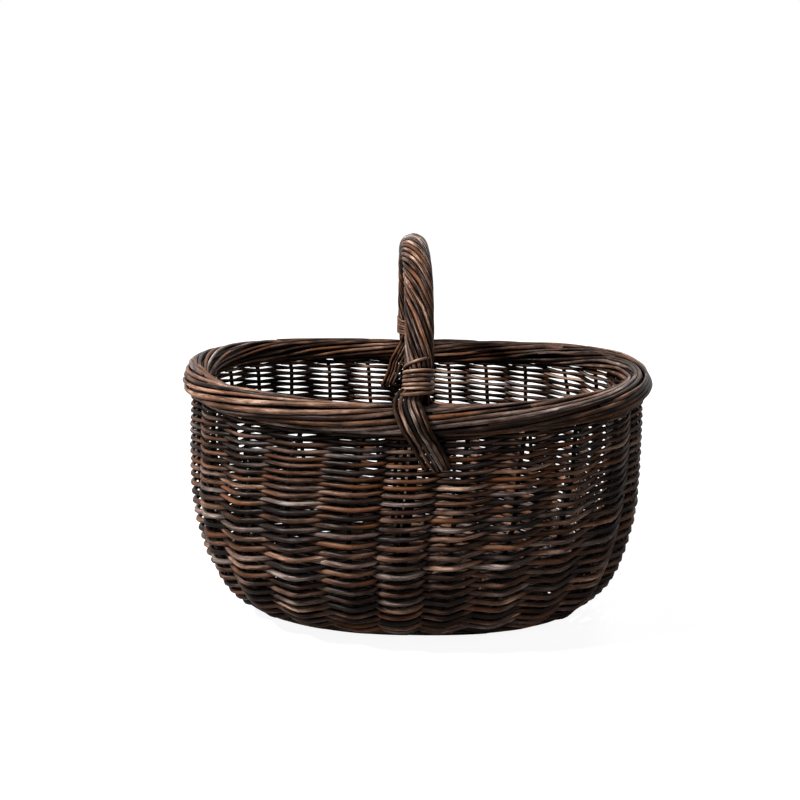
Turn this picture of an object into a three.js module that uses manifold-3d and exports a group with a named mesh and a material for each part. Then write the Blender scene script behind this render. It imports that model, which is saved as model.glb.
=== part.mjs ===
// Oval wicker shopping basket with a fixed roped handle, in millimetres, +Z up.
// The base stands on z = 0 with the origin under its middle. X runs along the basket and Y across it.
import * as THREE from "three";
import { mergeVertices } from "three/addons/utils/BufferGeometryUtils.js";
import Module from "manifold-3d";

// Outside of the rolled border
const BASKET_LENGTH = 460;
const BASKET_WIDTH = 323;
const BORDER_THICKNESS = 29;
const BORDER_HEIGHT = 232; // height of the middle of the roll, at the handle
const BORDER_LIFT = 9; // how much higher the roll lies at the two ends
const BORDER_OVERHANG = 2.5; // the roll's middle lies this far outside the stakes
const OVAL_POWER = 2.37; // 2 gives an ellipse, more gives squarer ends

// Line of the stakes where they leave the base, and where the wall is widest
const BASE_LENGTH = 264;
const BASE_WIDTH = 168;
const BELLY_SWELL = 3; // the belly stands out past the line under the border by this much
const BELLY_HEIGHT = 150;
const WALL_POWER = 2.2; // roundness of the curve from the base up to the belly

// Willow rods
const STAKE_COUNT = 26;
const STAKE_DIAMETER = 6;
const STAKE_TIP_DIAMETER = 5.2;
const STAKE_SLYPE_DIAMETER = 2.4; // the sharpened foot that is pushed into the base
const FOOT_LENGTH = 28;
const FOOT_CLEARANCE = 0.9; // between a stake's foot and the sharpened end of the stick beside it
const BORDER_SPACES = 7; // how many stake spaces a turned down stake runs along the border
const SPACES_BEFORE_HANDLE = 3.4; // the handle comes up between the rods that started this far back
const PARTING = 2.9; // how strongly the border's rods part where the handle comes up between them
const PARTING_FULL = 0.4; // within this many stake spaces of the handle they are fully parted
const PARTING_ENDS = 0.9; // and from here on they aren't parted
const RIM_GAP = 0.3; // least gap between rods that lie against each other
const STAKE_SHIFT = -7.5; // the front middle stake stands this far from the middle
const STAKE_DRIFTS = [ // how far each stake stands beyond its even place, in stake spaces
  0, 0, 0.1, 0.2, 0.34, 0.4, 0.4, 0.34, 0.26, 0.18, 0.21, 0.23, 0.2,
  0.06, 0.25, 0.27, 0.26, 0.18, 0.05, -0.08, -0.2, -0.3, -0.38, -0.34, -0.22, 0.03,
];
const LEAN_AT_BEND = 1.5; // how far a stake has moved along the border where it bends over
const LEAN_AT_BORDER = 5; // and where it joins the roll
const BEND_BELOW_ROLL = 1.5; // the bend lies this far under the stake's place in the roll

// Woven courses
const WEAVE_THICKNESS = 4.2;
const WALL_COURSES = 9;
const ROWS_PER_COURSE = 2;
const COURSE_GAP = 0.4;
const ROW_OVERLAP = 0.6; // how far the rows of a course reach into each other where they are joined
const ROW_PARTING = 1.2; // and how far each stays back where they aren't
const JOIN_STAKES = 4; // of this many stakes in turn, the rows reach into each other at the first two
const ROW_CLEARANCE = 1; // between a stake and the row of the wall that passes it
const WEAVE_CLEARANCE = 0.5; // between a stick of the base and the course that passes it
const FLAT_SHARE = 0.3; // part of a stake space, each side of the stake, that a course runs flat
const BASE_COURSES = 2;
const BASE_WEAVE_SHARE = 0.72; // part of the way in from the base's edge that its courses cover
const BASE_COURSE_GAP = 0.03; // between them, as a part of the same way
const STRAP_BEVEL = 0.15; // part of a base course's width that slopes, at each edge

// Sticks of the base
const STICK_DIAMETER = 6;
const CROSS_STICKS = 9;
const CROSS_STICK_PITCH = 12;
const LONG_STICKS = 4;
const PIERCED_HEIGHT = 13; // a cross stick swells to this where the long sticks pass through it
const SWELL_STARTS = 0.3; // part of the way to the cross stick's end at which it starts to swell
const BUNDLE_MARGIN = 2; // the cross sticks run straight this far past the long sticks
const FAN_START = 0.9; // the long sticks fan out this many pitches past the last cross stick

// Handle
const HANDLE_TOP = 364.6; // height of the bow's middle line at the top
const BOW_DIAMETER = 16.5;
const TANG_WIDTH = 6.4;
const TANG_THICKNESS = 4.5;
const TANG_LENGTH = 85; // how far the flattened bow ends reach below the middle of the border
const TANG_POINT_WIDTH = 0.6; // its sharpened end, as parts of the width and the thickness
const TANG_POINT_THICKNESS = 0.4;
const TANG_BESIDE_STAKE = 8.6;
const TANG_INSET = 1.8; // the bow goes through the roll this far inside the roll's middle
const SHOULDER_ABOVE_BORDER = 1; // from the top of the roll to where the bow starts to swell
const ROPING_BUNCHES = 5;
const ROPING_TURNS = 3.4;
const ROPING_PHASE = -36; // degrees round the bow, from its outside, at which the first bunch starts
const ROPING_THICKNESS = 3.8;
const ROPING_CLEARANCE = 1.1; // between the bow and the bunches laid round it
const ROPING_GAP = 1.2; // between neighbouring bunches
const ROPING_ABOVE_BORDER = 1.5; // from the top of the roll to where the bunches start
const TAIL_WIDTH = 20;
const TAIL_DROP = 44; // how far a bunch's end reaches below the middle of the border
const TAIL_DRIFT = 30; // how far it moves along the basket on the way
const OUTSIDE_TAIL_BENDS = [50, 17, -19, -55]; // degrees round the border's roll
const INSIDE_TAIL_BENDS = [28, -4, -36];
const WRAP_DIAMETER = 2.9;
const WRAP_PITCH = 4.1;
const WRAP_LOOPS = 5;
const WRAP_CLEARANCE = 0.5;
const WRAP_ABOVE_BORDER = 4.5; // from the top of the roll to the lowest loop

const barkColour = 0x3a241a;
const weaveColour = 0x44291b;
const handleColour = 0x4f2f1f;

const stakeRadius = STAKE_DIAMETER / 2;
const rollRadius = BORDER_THICKNESS / 2 - stakeRadius;
const rimHalfLength = BASKET_LENGTH / 2 - BORDER_THICKNESS / 2 - BORDER_OVERHANG;
const rimHalfWidth = BASKET_WIDTH / 2 - BORDER_THICKNESS / 2 - BORDER_OVERHANG;
const courseOffset = stakeRadius + WEAVE_CLEARANCE + WEAVE_THICKNESS / 2;
const rowOffset = stakeRadius + ROW_CLEARANCE + WEAVE_THICKNESS / 2;
const baseHeight = courseOffset + WEAVE_THICKNESS / 2; // height of the sticks' middle line
const wallTop = BORDER_HEIGHT - BORDER_THICKNESS / 2 - RIM_GAP;
const turn = 2 * Math.PI;
const up = new THREE.Vector3(0, 0, 1);

const basket = new THREE.Group();

function addPart(name, geometry, color, roughness) {
  const material = new THREE.MeshStandardMaterial({ color, roughness, metalness: 0 });
  const mesh = new THREE.Mesh(geometry, material);
  mesh.name = name;
  basket.add(mesh);
}

// Solid from rings of equally many points, either capped at both ends or closed in a loop
function ringSolid(rings, closed) {
  const sides = rings[0].length;
  const positions = rings.flat().flatMap((p) => [p.x, p.y, p.z]);
  const index = [];
  const spans = closed ? rings.length : rings.length - 1;
  for (let i = 0; i < spans; i += 1) {
    const here = i * sides;
    const next = ((i + 1) % rings.length) * sides;
    for (let k = 0; k < sides; k += 1) {
      const l = (k + 1) % sides;
      index.push(here + k, here + l, next + l, here + k, next + l, next + k);
    }
  }
  if (!closed) {
    const last = (rings.length - 1) * sides;
    for (let k = 1; k < sides - 1; k += 1) {
      index.push(0, k + 1, k, last, last + k, last + k + 1);
    }
  }
  if (signedVolume(positions, index) < 0) index.reverse();
  const geometry = new THREE.BufferGeometry();
  geometry.setAttribute("position", new THREE.Float32BufferAttribute(positions, 3));
  geometry.setIndex(index);
  return geometry;
}

function signedVolume(positions, index) {
  const corner = (i) => new THREE.Vector3().fromArray(positions, 3 * index[i]);
  let volume = 0;
  for (let i = 0; i < index.length; i += 3) {
    volume += corner(i).dot(corner(i + 1).cross(corner(i + 2)));
  }
  return volume;
}

// Directions along a path, and two square to it: from widthWay, or else carried along without twist
function pathFrames(points, widthWay) {
  const frames = [];
  let side = null;
  for (let i = 0; i < points.length; i += 1) {
    const before = points[Math.max(i - 1, 0)];
    const after = points[Math.min(i + 1, points.length - 1)];
    const intoPoint = points[i].clone().sub(before).normalize();
    const outOfPoint = after.clone().sub(points[i]).normalize();
    const along = intoPoint.add(outOfPoint).normalize();
    if (!side) side = new THREE.Vector3(0.3, 0.5, 0.8).cross(along);
    if (widthWay) side = widthWay;
    side = side.clone().addScaledVector(along, -side.dot(along)).normalize();
    frames.push({ along, side, across: along.clone().cross(side) });
  }
  return frames;
}

// Rod along a list of points: half its width and half its height at each, and the way its width lies
function rodSolid(points, halfWidths, halfHeights, sides, widthWay) {
  const frames = pathFrames(points, widthWay);
  const rings = points.map((point, i) => {
    const ring = [];
    for (let k = 0; k < sides; k += 1) {
      const angle = (turn * (k + 0.5)) / sides;
      const spot = point.clone();
      spot.addScaledVector(frames[i].side, halfWidths[i] * Math.cos(angle));
      spot.addScaledVector(frames[i].across, halfHeights[i] * Math.sin(angle));
      ring.push(spot);
    }
    return ring;
  });
  return ringSolid(rings, false);
}

// Point of an oval at an angle from the middle of the front, growing towards +X
function ovalPoint(halfLength, halfWidth, angle) {
  const power = 2 / OVAL_POWER;
  const s = Math.sin(angle);
  const c = Math.cos(angle);
  const x = halfLength * Math.sign(s) * Math.abs(s) ** power;
  const y = -halfWidth * Math.sign(c) * Math.abs(c) ** power;
  return new THREE.Vector2(x, y);
}

// Angles at equal steps of length round the border's oval
function evenOvalAngles(steps) {
  const fine = 4000;
  const lengths = [0];
  for (let i = 1; i <= fine; i += 1) {
    const a = ovalPoint(rimHalfLength, rimHalfWidth, (turn * (i - 1)) / fine);
    const b = ovalPoint(rimHalfLength, rimHalfWidth, (turn * i) / fine);
    lengths.push(lengths[i - 1] + a.distanceTo(b));
  }
  const angles = [];
  let i = 0;
  for (let step = 0; step <= steps; step += 1) {
    const wanted = (lengths[fine] * step) / steps;
    while (i < fine - 1 && lengths[i + 1] < wanted) i += 1;
    const part = (wanted - lengths[i]) / (lengths[i + 1] - lengths[i]);
    angles.push((turn * (i + part)) / fine);
  }
  return { angles, length: lengths[fine] };
}

const ovalSteps = 1040;
const evenOval = evenOvalAngles(ovalSteps);
const stakeSpace = evenOval.length / STAKE_COUNT;

// How far a place stands beyond its even one, easing from one stake to the next
function driftAt(place) {
  const before = Math.floor(place);
  const drift = (stake) => STAKE_DRIFTS[((stake % STAKE_COUNT) + STAKE_COUNT) % STAKE_COUNT];
  const slope = (stake) => (drift(stake + 1) - drift(stake - 1)) / 2;
  const part = place - before;
  const rest = 1 - part;
  const ease = part * part * (3 - 2 * part);
  const bend = part * rest * (rest * slope(before) - part * slope(before + 1));
  return THREE.MathUtils.lerp(drift(before), drift(before + 1), ease) + bend;
}

// Places round the basket count from the front middle stake, towards +X, one to each stake
function angleAt(place) {
  const spaces = place + driftAt(place) + STAKE_SHIFT / stakeSpace;
  const step = (((spaces / STAKE_COUNT) % 1) + 1) % 1 * ovalSteps;
  const low = Math.floor(step);
  return THREE.MathUtils.lerp(evenOval.angles[low], evenOval.angles[low + 1], step - low);
}

// The wall's outline from the base edge up to the border, by distance along it
function wallOutline() {
  const rows = [];
  const steps = 160;
  for (let i = 0; i <= steps; i += 1) {
    const quarter = (Math.PI / 2) * (i / steps);
    const spread = Math.sin(quarter) ** (2 / WALL_POWER);
    const climb = 1 - Math.cos(quarter) ** (2 / WALL_POWER);
    rows.push({ spread, lean: 0, height: baseHeight + (BELLY_HEIGHT - baseHeight) * climb });
  }
  for (let i = 1; i <= steps / 4; i += 1) {
    const part = i / (steps / 4);
    const height = BELLY_HEIGHT + (wallTop - BELLY_HEIGHT) * part;
    rows.push({ spread: 1, lean: part * part, height });
  }
  rows[0].rise = 0;
  for (let i = 1; i < rows.length; i += 1) {
    const out = halfLengthOf(rows[i]) - halfLengthOf(rows[i - 1]);
    rows[i].rise = rows[i - 1].rise + Math.hypot(out, rows[i].height - rows[i - 1].height);
  }
  return rows;
}

function halfLengthOf(row) {
  const belly = rimHalfLength + BELLY_SWELL;
  const low = BASE_LENGTH / 2;
  return low + (belly - low) * row.spread - BELLY_SWELL * row.lean;
}

function halfWidthOf(row) {
  const belly = rimHalfWidth + BELLY_SWELL;
  const low = BASE_WIDTH / 2;
  return low + (belly - low) * row.spread - BELLY_SWELL * row.lean;
}

const outline = wallOutline();
const wallLength = outline[outline.length - 1].rise;
const coursePitch = wallLength / WALL_COURSES;

function outlineAt(rise) {
  const i = Math.max(1, outline.findIndex((row) => row.rise >= rise));
  const low = outline[i - 1];
  const high = outline[i];
  const part = (rise - low.rise) / (high.rise - low.rise);
  const row = {};
  for (const key of ["spread", "lean", "height"]) {
    row[key] = THREE.MathUtils.lerp(low[key], high[key], part);
  }
  return row;
}

// Point on the line of the stakes, at a place round the basket and a distance up the wall
function wallSurface(place, rise) {
  const row = outlineAt(Math.min(rise, wallLength));
  const flat = ovalPoint(halfLengthOf(row), halfWidthOf(row), angleAt(place));
  const lift = BORDER_LIFT * (flat.x / rimHalfLength) ** 2 * (row.height / BORDER_HEIGHT) ** 2;
  return new THREE.Vector3(flat.x, flat.y, row.height + lift);
}

// The same, moved outwards square to the wall
function wallPoint(place, rise, out) {
  const step = 0.02;
  const here = wallSurface(place, rise);
  const round = wallSurface(place + step, rise).sub(wallSurface(place - step, rise));
  const climb = wallSurface(place, rise + step).sub(wallSurface(place, Math.max(0, rise - step)));
  return here.addScaledVector(round.cross(climb).normalize(), out);
}

// Where a base stick meets the bundle in the middle of the base, by stake number
function slathPoint(stake) {
  const side = (stake + STAKE_COUNT) % STAKE_COUNT;
  const crossReach = (CROSS_STICKS - 1) / 2;
  const half = STAKE_COUNT / 2;
  const bundleHalf = (LONG_STICKS / 2) * (STICK_DIAMETER + RIM_GAP) + BUNDLE_MARGIN;
  if (side <= crossReach) return new THREE.Vector2(side * CROSS_STICK_PITCH, -bundleHalf);
  if (side >= STAKE_COUNT - crossReach) {
    return new THREE.Vector2((side - STAKE_COUNT) * CROSS_STICK_PITCH, -bundleHalf);
  }
  if (Math.abs(side - half) <= crossReach) {
    return new THREE.Vector2((half - side) * CROSS_STICK_PITCH, bundleHalf);
  }
  const end = side < half ? 1 : -1;
  const middle = side < half ? half / 2 : half * 1.5;
  const x = end * (crossReach + FAN_START) * CROSS_STICK_PITCH;
  return new THREE.Vector2(x, end * (side - middle) * (STICK_DIAMETER + RIM_GAP));
}

// Point of the base, at a place round it and a part of the way in from its edge, moved down
function basePoint(place, inward, down) {
  const low = Math.floor(place);
  const inner = slathPoint(low).lerp(slathPoint(low + 1), place - low);
  const edge = wallSurface(place, 0);
  const flat = new THREE.Vector2(edge.x, edge.y).lerp(inner, inward);
  return new THREE.Vector3(flat.x, flat.y, baseHeight - down);
}

// Halfway between the two corners of the flat stretch that a stake stands in, or beside it
function onFlat(pointAt, stake, beside) {
  const flat = 2 * FLAT_SHARE * stakeSpace;
  const before = pointAt(stake - FLAT_SHARE);
  return before.lerp(pointAt(stake + FLAT_SHARE), 0.5 + beside / flat);
}

// Middle of the border's roll
function rollMiddle(place) {
  const level = wallSurface(place, wallLength);
  const round = wallSurface(place + 0.02, wallLength).sub(wallSurface(place - 0.02, wallLength));
  const out = round.cross(up).normalize();
  const height = BORDER_HEIGHT + BORDER_LIFT * (level.x / rimHalfLength) ** 2;
  return { out, middle: new THREE.Vector3(level.x, level.y, height).addScaledVector(out, BORDER_OVERHANG) };
}

// Point at a distance outwards and upwards from the middle of the roll
function rollPoint(place, out, rise) {
  const roll = rollMiddle(place);
  return roll.middle.addScaledVector(roll.out, out).addScaledVector(up, rise);
}

const footStakes = [0, STAKE_COUNT / 2];
const tangClear = TANG_THICKNESS / 2 + RIM_GAP + stakeRadius;
const tangOuter = Math.acos((tangClear - TANG_INSET) / rollRadius);
const tangInner = Math.acos(-(tangClear + TANG_INSET) / rollRadius);
const tangAngle = (tangOuter + tangInner) / 2;
const perSpace = turn / (BORDER_SPACES + 1); // a rod climbs this far round the roll in a stake space
const borderStart = tangAngle - perSpace * (SPACES_BEFORE_HANDLE + TANG_BESIDE_STAKE / stakeSpace);

// Rods part to let the handle's flattened ends through the top of the roll
function partedAngle(angle, place) {
  const spaces = footStakes.map((foot) => {
    const apart = place - foot - TANG_BESIDE_STAKE / stakeSpace;
    return Math.abs(apart - STAKE_COUNT * Math.round(apart / STAKE_COUNT));
  });
  const near = 1 - THREE.MathUtils.smoothstep(Math.min(...spaces), PARTING_FULL, PARTING_ENDS);
  const nominal = perSpace / 2;
  const needed = (tangInner - tangOuter) / 2;
  const push = PARTING * (needed - nominal);
  const away = angle - tangAngle;
  const fade = Math.max(0, 1 - Math.abs(away) / (3 * nominal));
  return angle + near * Math.sign(away) * push * fade;
}

// Distances up the wall at which a stake bends: the middle of each course, and once more low down
function bendRises() {
  const middles = Array.from({ length: WALL_COURSES - 1 }, (_, course) => (course + 0.5) * coursePitch);
  return [middles[0], coursePitch, ...middles.slice(1)];
}

// Parts of a stake space at which a row of the wall bends past a stake: wider where the handle is
function rowBends(stake) {
  return footStakes.includes(stake) ? [-FLAT_SHARE, FLAT_SHARE] : [0];
}

// Where a stake stands between the rows
function standPoint(pointAt, stake) {
  return footStakes.includes(stake) ? onFlat(pointAt, stake, 0) : pointAt(stake);
}

// A stake: sharpened foot in the base, up the wall, then over along the border
function stakePath(stake) {
  const points = [];
  const radii = [];
  const put = (point, radius) => {
    points.push(point);
    radii.push(radius);
  };
  const footInward = FOOT_LENGTH / basePoint(stake, 0, 0).distanceTo(basePoint(stake, 1, 0));
  const slypeRadius = STAKE_SLYPE_DIAMETER / 2;
  const aside = stakeRadius + slypeRadius + FOOT_CLEARANCE;
  const inner = basePoint(stake, footInward, 0);
  const round = basePoint(stake + 0.1, footInward, 0).sub(basePoint(stake - 0.1, footInward, 0));
  put(inner.addScaledVector(round.normalize(), aside), slypeRadius);
  for (const rise of [0, ...bendRises(), wallLength - stakeRadius]) {
    put(standPoint((place) => wallPoint(place, rise, 0), stake), stakeRadius);
  }
  const startOut = rollRadius * Math.cos(borderStart);
  const startRise = rollRadius * Math.sin(borderStart);
  const bendOut = (startOut - BORDER_OVERHANG) / 2;
  const bend = (place) => rollPoint(place, bendOut, startRise - BEND_BELOW_ROLL);
  put(onFlat(bend, stake, LEAN_AT_BEND), stakeRadius);
  put(onFlat((place) => rollPoint(place, startOut, startRise), stake, LEAN_AT_BORDER), stakeRadius);
  for (let space = 0; space < BORDER_SPACES; space += 1) {
    for (const part of [FLAT_SHARE, 1 - FLAT_SHARE]) {
      const place = stake + space + part;
      const angle = partedAngle(borderStart + perSpace * (space + part), place);
      const out = rollRadius * Math.cos(angle);
      const rise = rollRadius * Math.sin(angle);
      const thin = (space + part) / BORDER_SPACES;
      const radius = THREE.MathUtils.lerp(STAKE_DIAMETER, STAKE_TIP_DIAMETER, thin) / 2;
      put(rollPoint(place, out, rise), radius);
    }
  }
  return { points, radii };
}

function addStakes() {
  for (let stake = 0; stake < STAKE_COUNT; stake += 1) {
    const { points, radii } = stakePath(stake);
    const name = `stake_${String(stake + 1).padStart(2, "0")}`;
    addPart(name, rodSolid(points, radii, radii, 5), barkColour, 0.5);
  }
}

// A woven row: it passes outside one stake and inside the next, with a section and bends at each
function wovenSolid(pointAt, sectionAt, parity, swing, bends) {
  const rings = [];
  for (let stake = 0; stake < STAKE_COUNT; stake += 1) {
    const offset = (stake + parity) % 2 === 0 ? swing : -swing;
    for (const part of bends(stake)) {
      rings.push(sectionAt(stake).map(([along, out]) => pointAt(stake + part, along, offset + out)));
    }
  }
  return ringSolid(rings, true);
}

// A course of the wall: rows that pass the stakes by turns, joined where they cross in some spaces
function addWallCourses() {
  const thick = WEAVE_THICKNESS / 2;
  const rowPitch = coursePitch / ROWS_PER_COURSE;
  for (let course = 0; course < WALL_COURSES; course += 1) {
    let solid = null;
    for (let row = 0; row < ROWS_PER_COURSE; row += 1) {
      const start = course * coursePitch + row * rowPitch;
      const lensAt = (stake) => {
        const reach = (stake + course) % JOIN_STAKES < 2 ? ROW_OVERLAP : -ROW_PARTING;
        const low = start + (row === 0 ? COURSE_GAP / 2 : -reach);
        const high = start + rowPitch + (row === ROWS_PER_COURSE - 1 ? -COURSE_GAP / 2 : reach);
        const middle = (low + high) / 2;
        return [[low, 0], [middle, thick], [high, 0], [middle, -thick]];
      };
      const parity = course * ROWS_PER_COURSE + row;
      const swing = parity === 0 ? courseOffset : rowOffset; // the lowest row stays above z = 0
      const woven = toManifold(wovenSolid(wallPoint, lensAt, parity, swing, rowBends));
      solid = solid ? solid.add(woven) : woven;
    }
    const name = `wall_course_${String(course + 1).padStart(2, "0")}`;
    addPart(name, fromManifold(solid), weaveColour, 0.55);
  }
}

function addBaseCourses() {
  const pitch = BASE_WEAVE_SHARE / BASE_COURSES;
  const thick = WEAVE_THICKNESS / 2;
  for (let course = 0; course < BASE_COURSES; course += 1) {
    const outer = course * pitch + BASE_COURSE_GAP / 2;
    const inner = (course + 1) * pitch - BASE_COURSE_GAP / 2;
    const bevel = STRAP_BEVEL * pitch;
    const strap = () => [[outer, -thick], [outer + bevel, thick], [inner - bevel, thick], [inner, -thick]];
    const name = `base_course_${course + 1}`;
    const flats = () => [-FLAT_SHARE, FLAT_SHARE];
    addPart(name, wovenSolid(basePoint, strap, course + 1, courseOffset, flats), weaveColour, 0.55);
  }
}

const wasm = await Module();
wasm.setup();

function toManifold(geometry) {
  const bare = geometry.clone();
  bare.deleteAttribute("normal");
  bare.deleteAttribute("uv");
  const merged = mergeVertices(bare);
  const vertProperties = new Float32Array(merged.attributes.position.array);
  const triVerts = new Uint32Array(merged.index.array);
  return new wasm.Manifold(new wasm.Mesh({ numProp: 3, vertProperties, triVerts }));
}

function fromManifold(solid) {
  const mesh = solid.getMesh();
  const geometry = new THREE.BufferGeometry();
  geometry.setAttribute("position", new THREE.Float32BufferAttribute(mesh.vertProperties, 3));
  geometry.setIndex(new THREE.Uint32BufferAttribute(mesh.triVerts, 1));
  return geometry;
}

// One sharpened end of a base stick: its tip beside the foot of a stake, then its full width
function stickEnd(place) {
  const reach = basePoint(place, 0, 0).distanceTo(basePoint(place, 1, 0));
  const tip = basePoint(place, 1 / reach, 0);
  const round = basePoint(place + 0.1, 1 / reach, 0).sub(basePoint(place - 0.1, 1 / reach, 0));
  const aside = (STICK_DIAMETER + STAKE_SLYPE_DIAMETER) / 2 + FOOT_CLEARANCE;
  tip.addScaledVector(round.normalize(), -aside);
  return [tip, basePoint(place, FOOT_LENGTH / reach, 0)];
}

// A base stick from one end to the other, thicker over a stretch in its middle if it is pierced
function stickSolid(from, to, pierced) {
  const [startTip, start] = stickEnd(from);
  const [endTip, end] = stickEnd(to);
  const startInner = basePoint(from, 1, 0);
  const endInner = basePoint(to, 1, 0);
  const points = [startTip, start, startInner, endInner, end, endTip];
  const halfWidths = [STAKE_SLYPE_DIAMETER, ...Array(4).fill(STICK_DIAMETER), STAKE_SLYPE_DIAMETER];
  const halfHeights = [...halfWidths];
  if (pierced) {
    const swell = PIERCED_HEIGHT / STICK_DIAMETER;
    points.splice(2, 0, startInner.clone().lerp(start, SWELL_STARTS));
    points.splice(5, 0, endInner.clone().lerp(end, SWELL_STARTS));
    halfWidths.splice(2, 0, STICK_DIAMETER, STICK_DIAMETER);
    halfHeights.splice(2, 0, STICK_DIAMETER, STICK_DIAMETER);
    halfHeights[3] *= swell;
    halfHeights[4] *= swell;
  }
  const widthWay = new THREE.Vector3(pierced ? 1 : 0, pierced ? 0 : 1, 0);
  const halved = (sizes) => sizes.map((size) => size / 2);
  return rodSolid(points, halved(halfWidths), halved(halfHeights), 6, widthWay);
}

function addBaseSticks() {
  const reach = (CROSS_STICKS - 1) / 2;
  const half = STAKE_COUNT / 2;
  const slotLength = LONG_STICKS * (STICK_DIAMETER + RIM_GAP) + RIM_GAP;
  const slotHeight = STICK_DIAMETER + 2 * RIM_GAP;
  for (let i = 0; i < CROSS_STICKS; i += 1) {
    const place = i - reach;
    const solid = toManifold(stickSolid(place, half - place, true));
    const slot = new THREE.BoxGeometry(4 * STICK_DIAMETER, slotLength, slotHeight);
    slot.translate(place * CROSS_STICK_PITCH, 0, baseHeight);
    const pierced = fromManifold(solid.subtract(toManifold(slot)));
    addPart(`base_cross_stick_${i + 1}`, pierced, barkColour, 0.6);
  }
  for (let i = 0; i < LONG_STICKS; i += 1) {
    const solid = stickSolid(reach + 1 + i, STAKE_COUNT - reach - 1 - i, false);
    addPart(`base_long_stick_${i + 1}`, solid, barkColour, 0.6);
  }
}

// Feet of the handle where its flattened ends pass through the middle of the roll
const bowFeet = footStakes.map((stake) =>
  onFlat((place) => rollPoint(place, -TANG_INSET, 0), stake, TANG_BESIDE_STAKE),
);
const bowMiddle = bowFeet[0].clone().lerp(bowFeet[1], 0.5);
const bowReach = bowFeet[0].clone().sub(bowMiddle);
const bowSide = bowReach.clone().cross(up).negate().normalize();
const bowRadius = BOW_DIAMETER / 2;

function archPoint(angle) {
  const rise = HANDLE_TOP - bowMiddle.z;
  const centre = bowMiddle.clone().addScaledVector(bowReach, Math.cos(angle));
  return centre.addScaledVector(up, rise * Math.sin(angle));
}

const archSteps = 400;
const archLengths = [0];
for (let i = 1; i <= archSteps; i += 1) {
  const from = archPoint((Math.PI * (i - 1)) / archSteps);
  archLengths.push(archLengths[i - 1] + from.distanceTo(archPoint((Math.PI * i) / archSteps)));
}
const archLength = archLengths[archSteps];

// Point and directions of the bow's middle line, by length from its front foot
function archAt(length) {
  const i = Math.min(archSteps - 1, archLengths.findIndex((l) => l > length) - 1);
  const part = (length - archLengths[i]) / (archLengths[i + 1] - archLengths[i]);
  const angle = (Math.PI * (i + part)) / archSteps;
  const centre = archPoint(angle);
  const along = archPoint(angle + 0.01).sub(archPoint(angle - 0.01)).normalize();
  return { centre, along, out: bowSide.clone().cross(along).normalize() };
}

// The bow, flattened where it goes down through the border and beside a stake in the wall
function bowSolid() {
  const points = [];
  const halfWidths = [];
  const halfHeights = [];
  const put = (point, width, height) => {
    points.push(point);
    halfWidths.push(width / 2);
    halfHeights.push(height / 2);
  };
  const tang = (stake) => {
    const low = wallLength - (TANG_LENGTH - BORDER_THICKNESS / 2);
    const wallSpot = (rise) =>
      onFlat((place) => wallPoint(place, rise, 0), stake, TANG_BESIDE_STAKE);
    return [wallSpot(low), wallSpot((low + wallLength) / 2), wallSpot(wallLength - 2)];
  };
  const shoulder = BORDER_THICKNESS / 2 + SHOULDER_ABOVE_BORDER;
  const swell = shoulder + BOW_DIAMETER / 2;
  const front = tang(footStakes[0]);
  const back = tang(footStakes[1]).reverse();
  const corner = 1 / Math.cos(Math.PI / 8);
  const width = TANG_WIDTH * corner;
  const thick = TANG_THICKNESS * corner;
  put(front[0], width * TANG_POINT_WIDTH, thick * TANG_POINT_THICKNESS);
  front.slice(1).forEach((point) => put(point, width, thick));
  put(archAt(shoulder).centre, width, thick);
  const stations = 20;
  for (let i = 0; i <= stations; i += 1) {
    const length = swell + ((archLength - 2 * swell) * i) / stations;
    put(archAt(length).centre, BOW_DIAMETER, BOW_DIAMETER);
  }
  put(archAt(archLength - shoulder).centre, width, thick);
  back.slice(0, 2).forEach((point) => put(point, width, thick));
  put(back[2], width * TANG_POINT_WIDTH, thick * TANG_POINT_THICKNESS);
  return rodSolid(points, halfWidths, halfHeights, 8, bowSide);
}

const ropingStart = BORDER_THICKNESS / 2 + ROPING_ABOVE_BORDER;
const ropingInner = bowRadius + ROPING_CLEARANCE;
const ropingOuter = ropingInner + ROPING_THICKNESS;
const ropingMiddle = (ropingInner + ropingOuter) / 2;
const ropingPhase = THREE.MathUtils.degToRad(ROPING_PHASE);
const insideBunch = 2; // the bunch that faces the inside of the basket at the front foot

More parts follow.
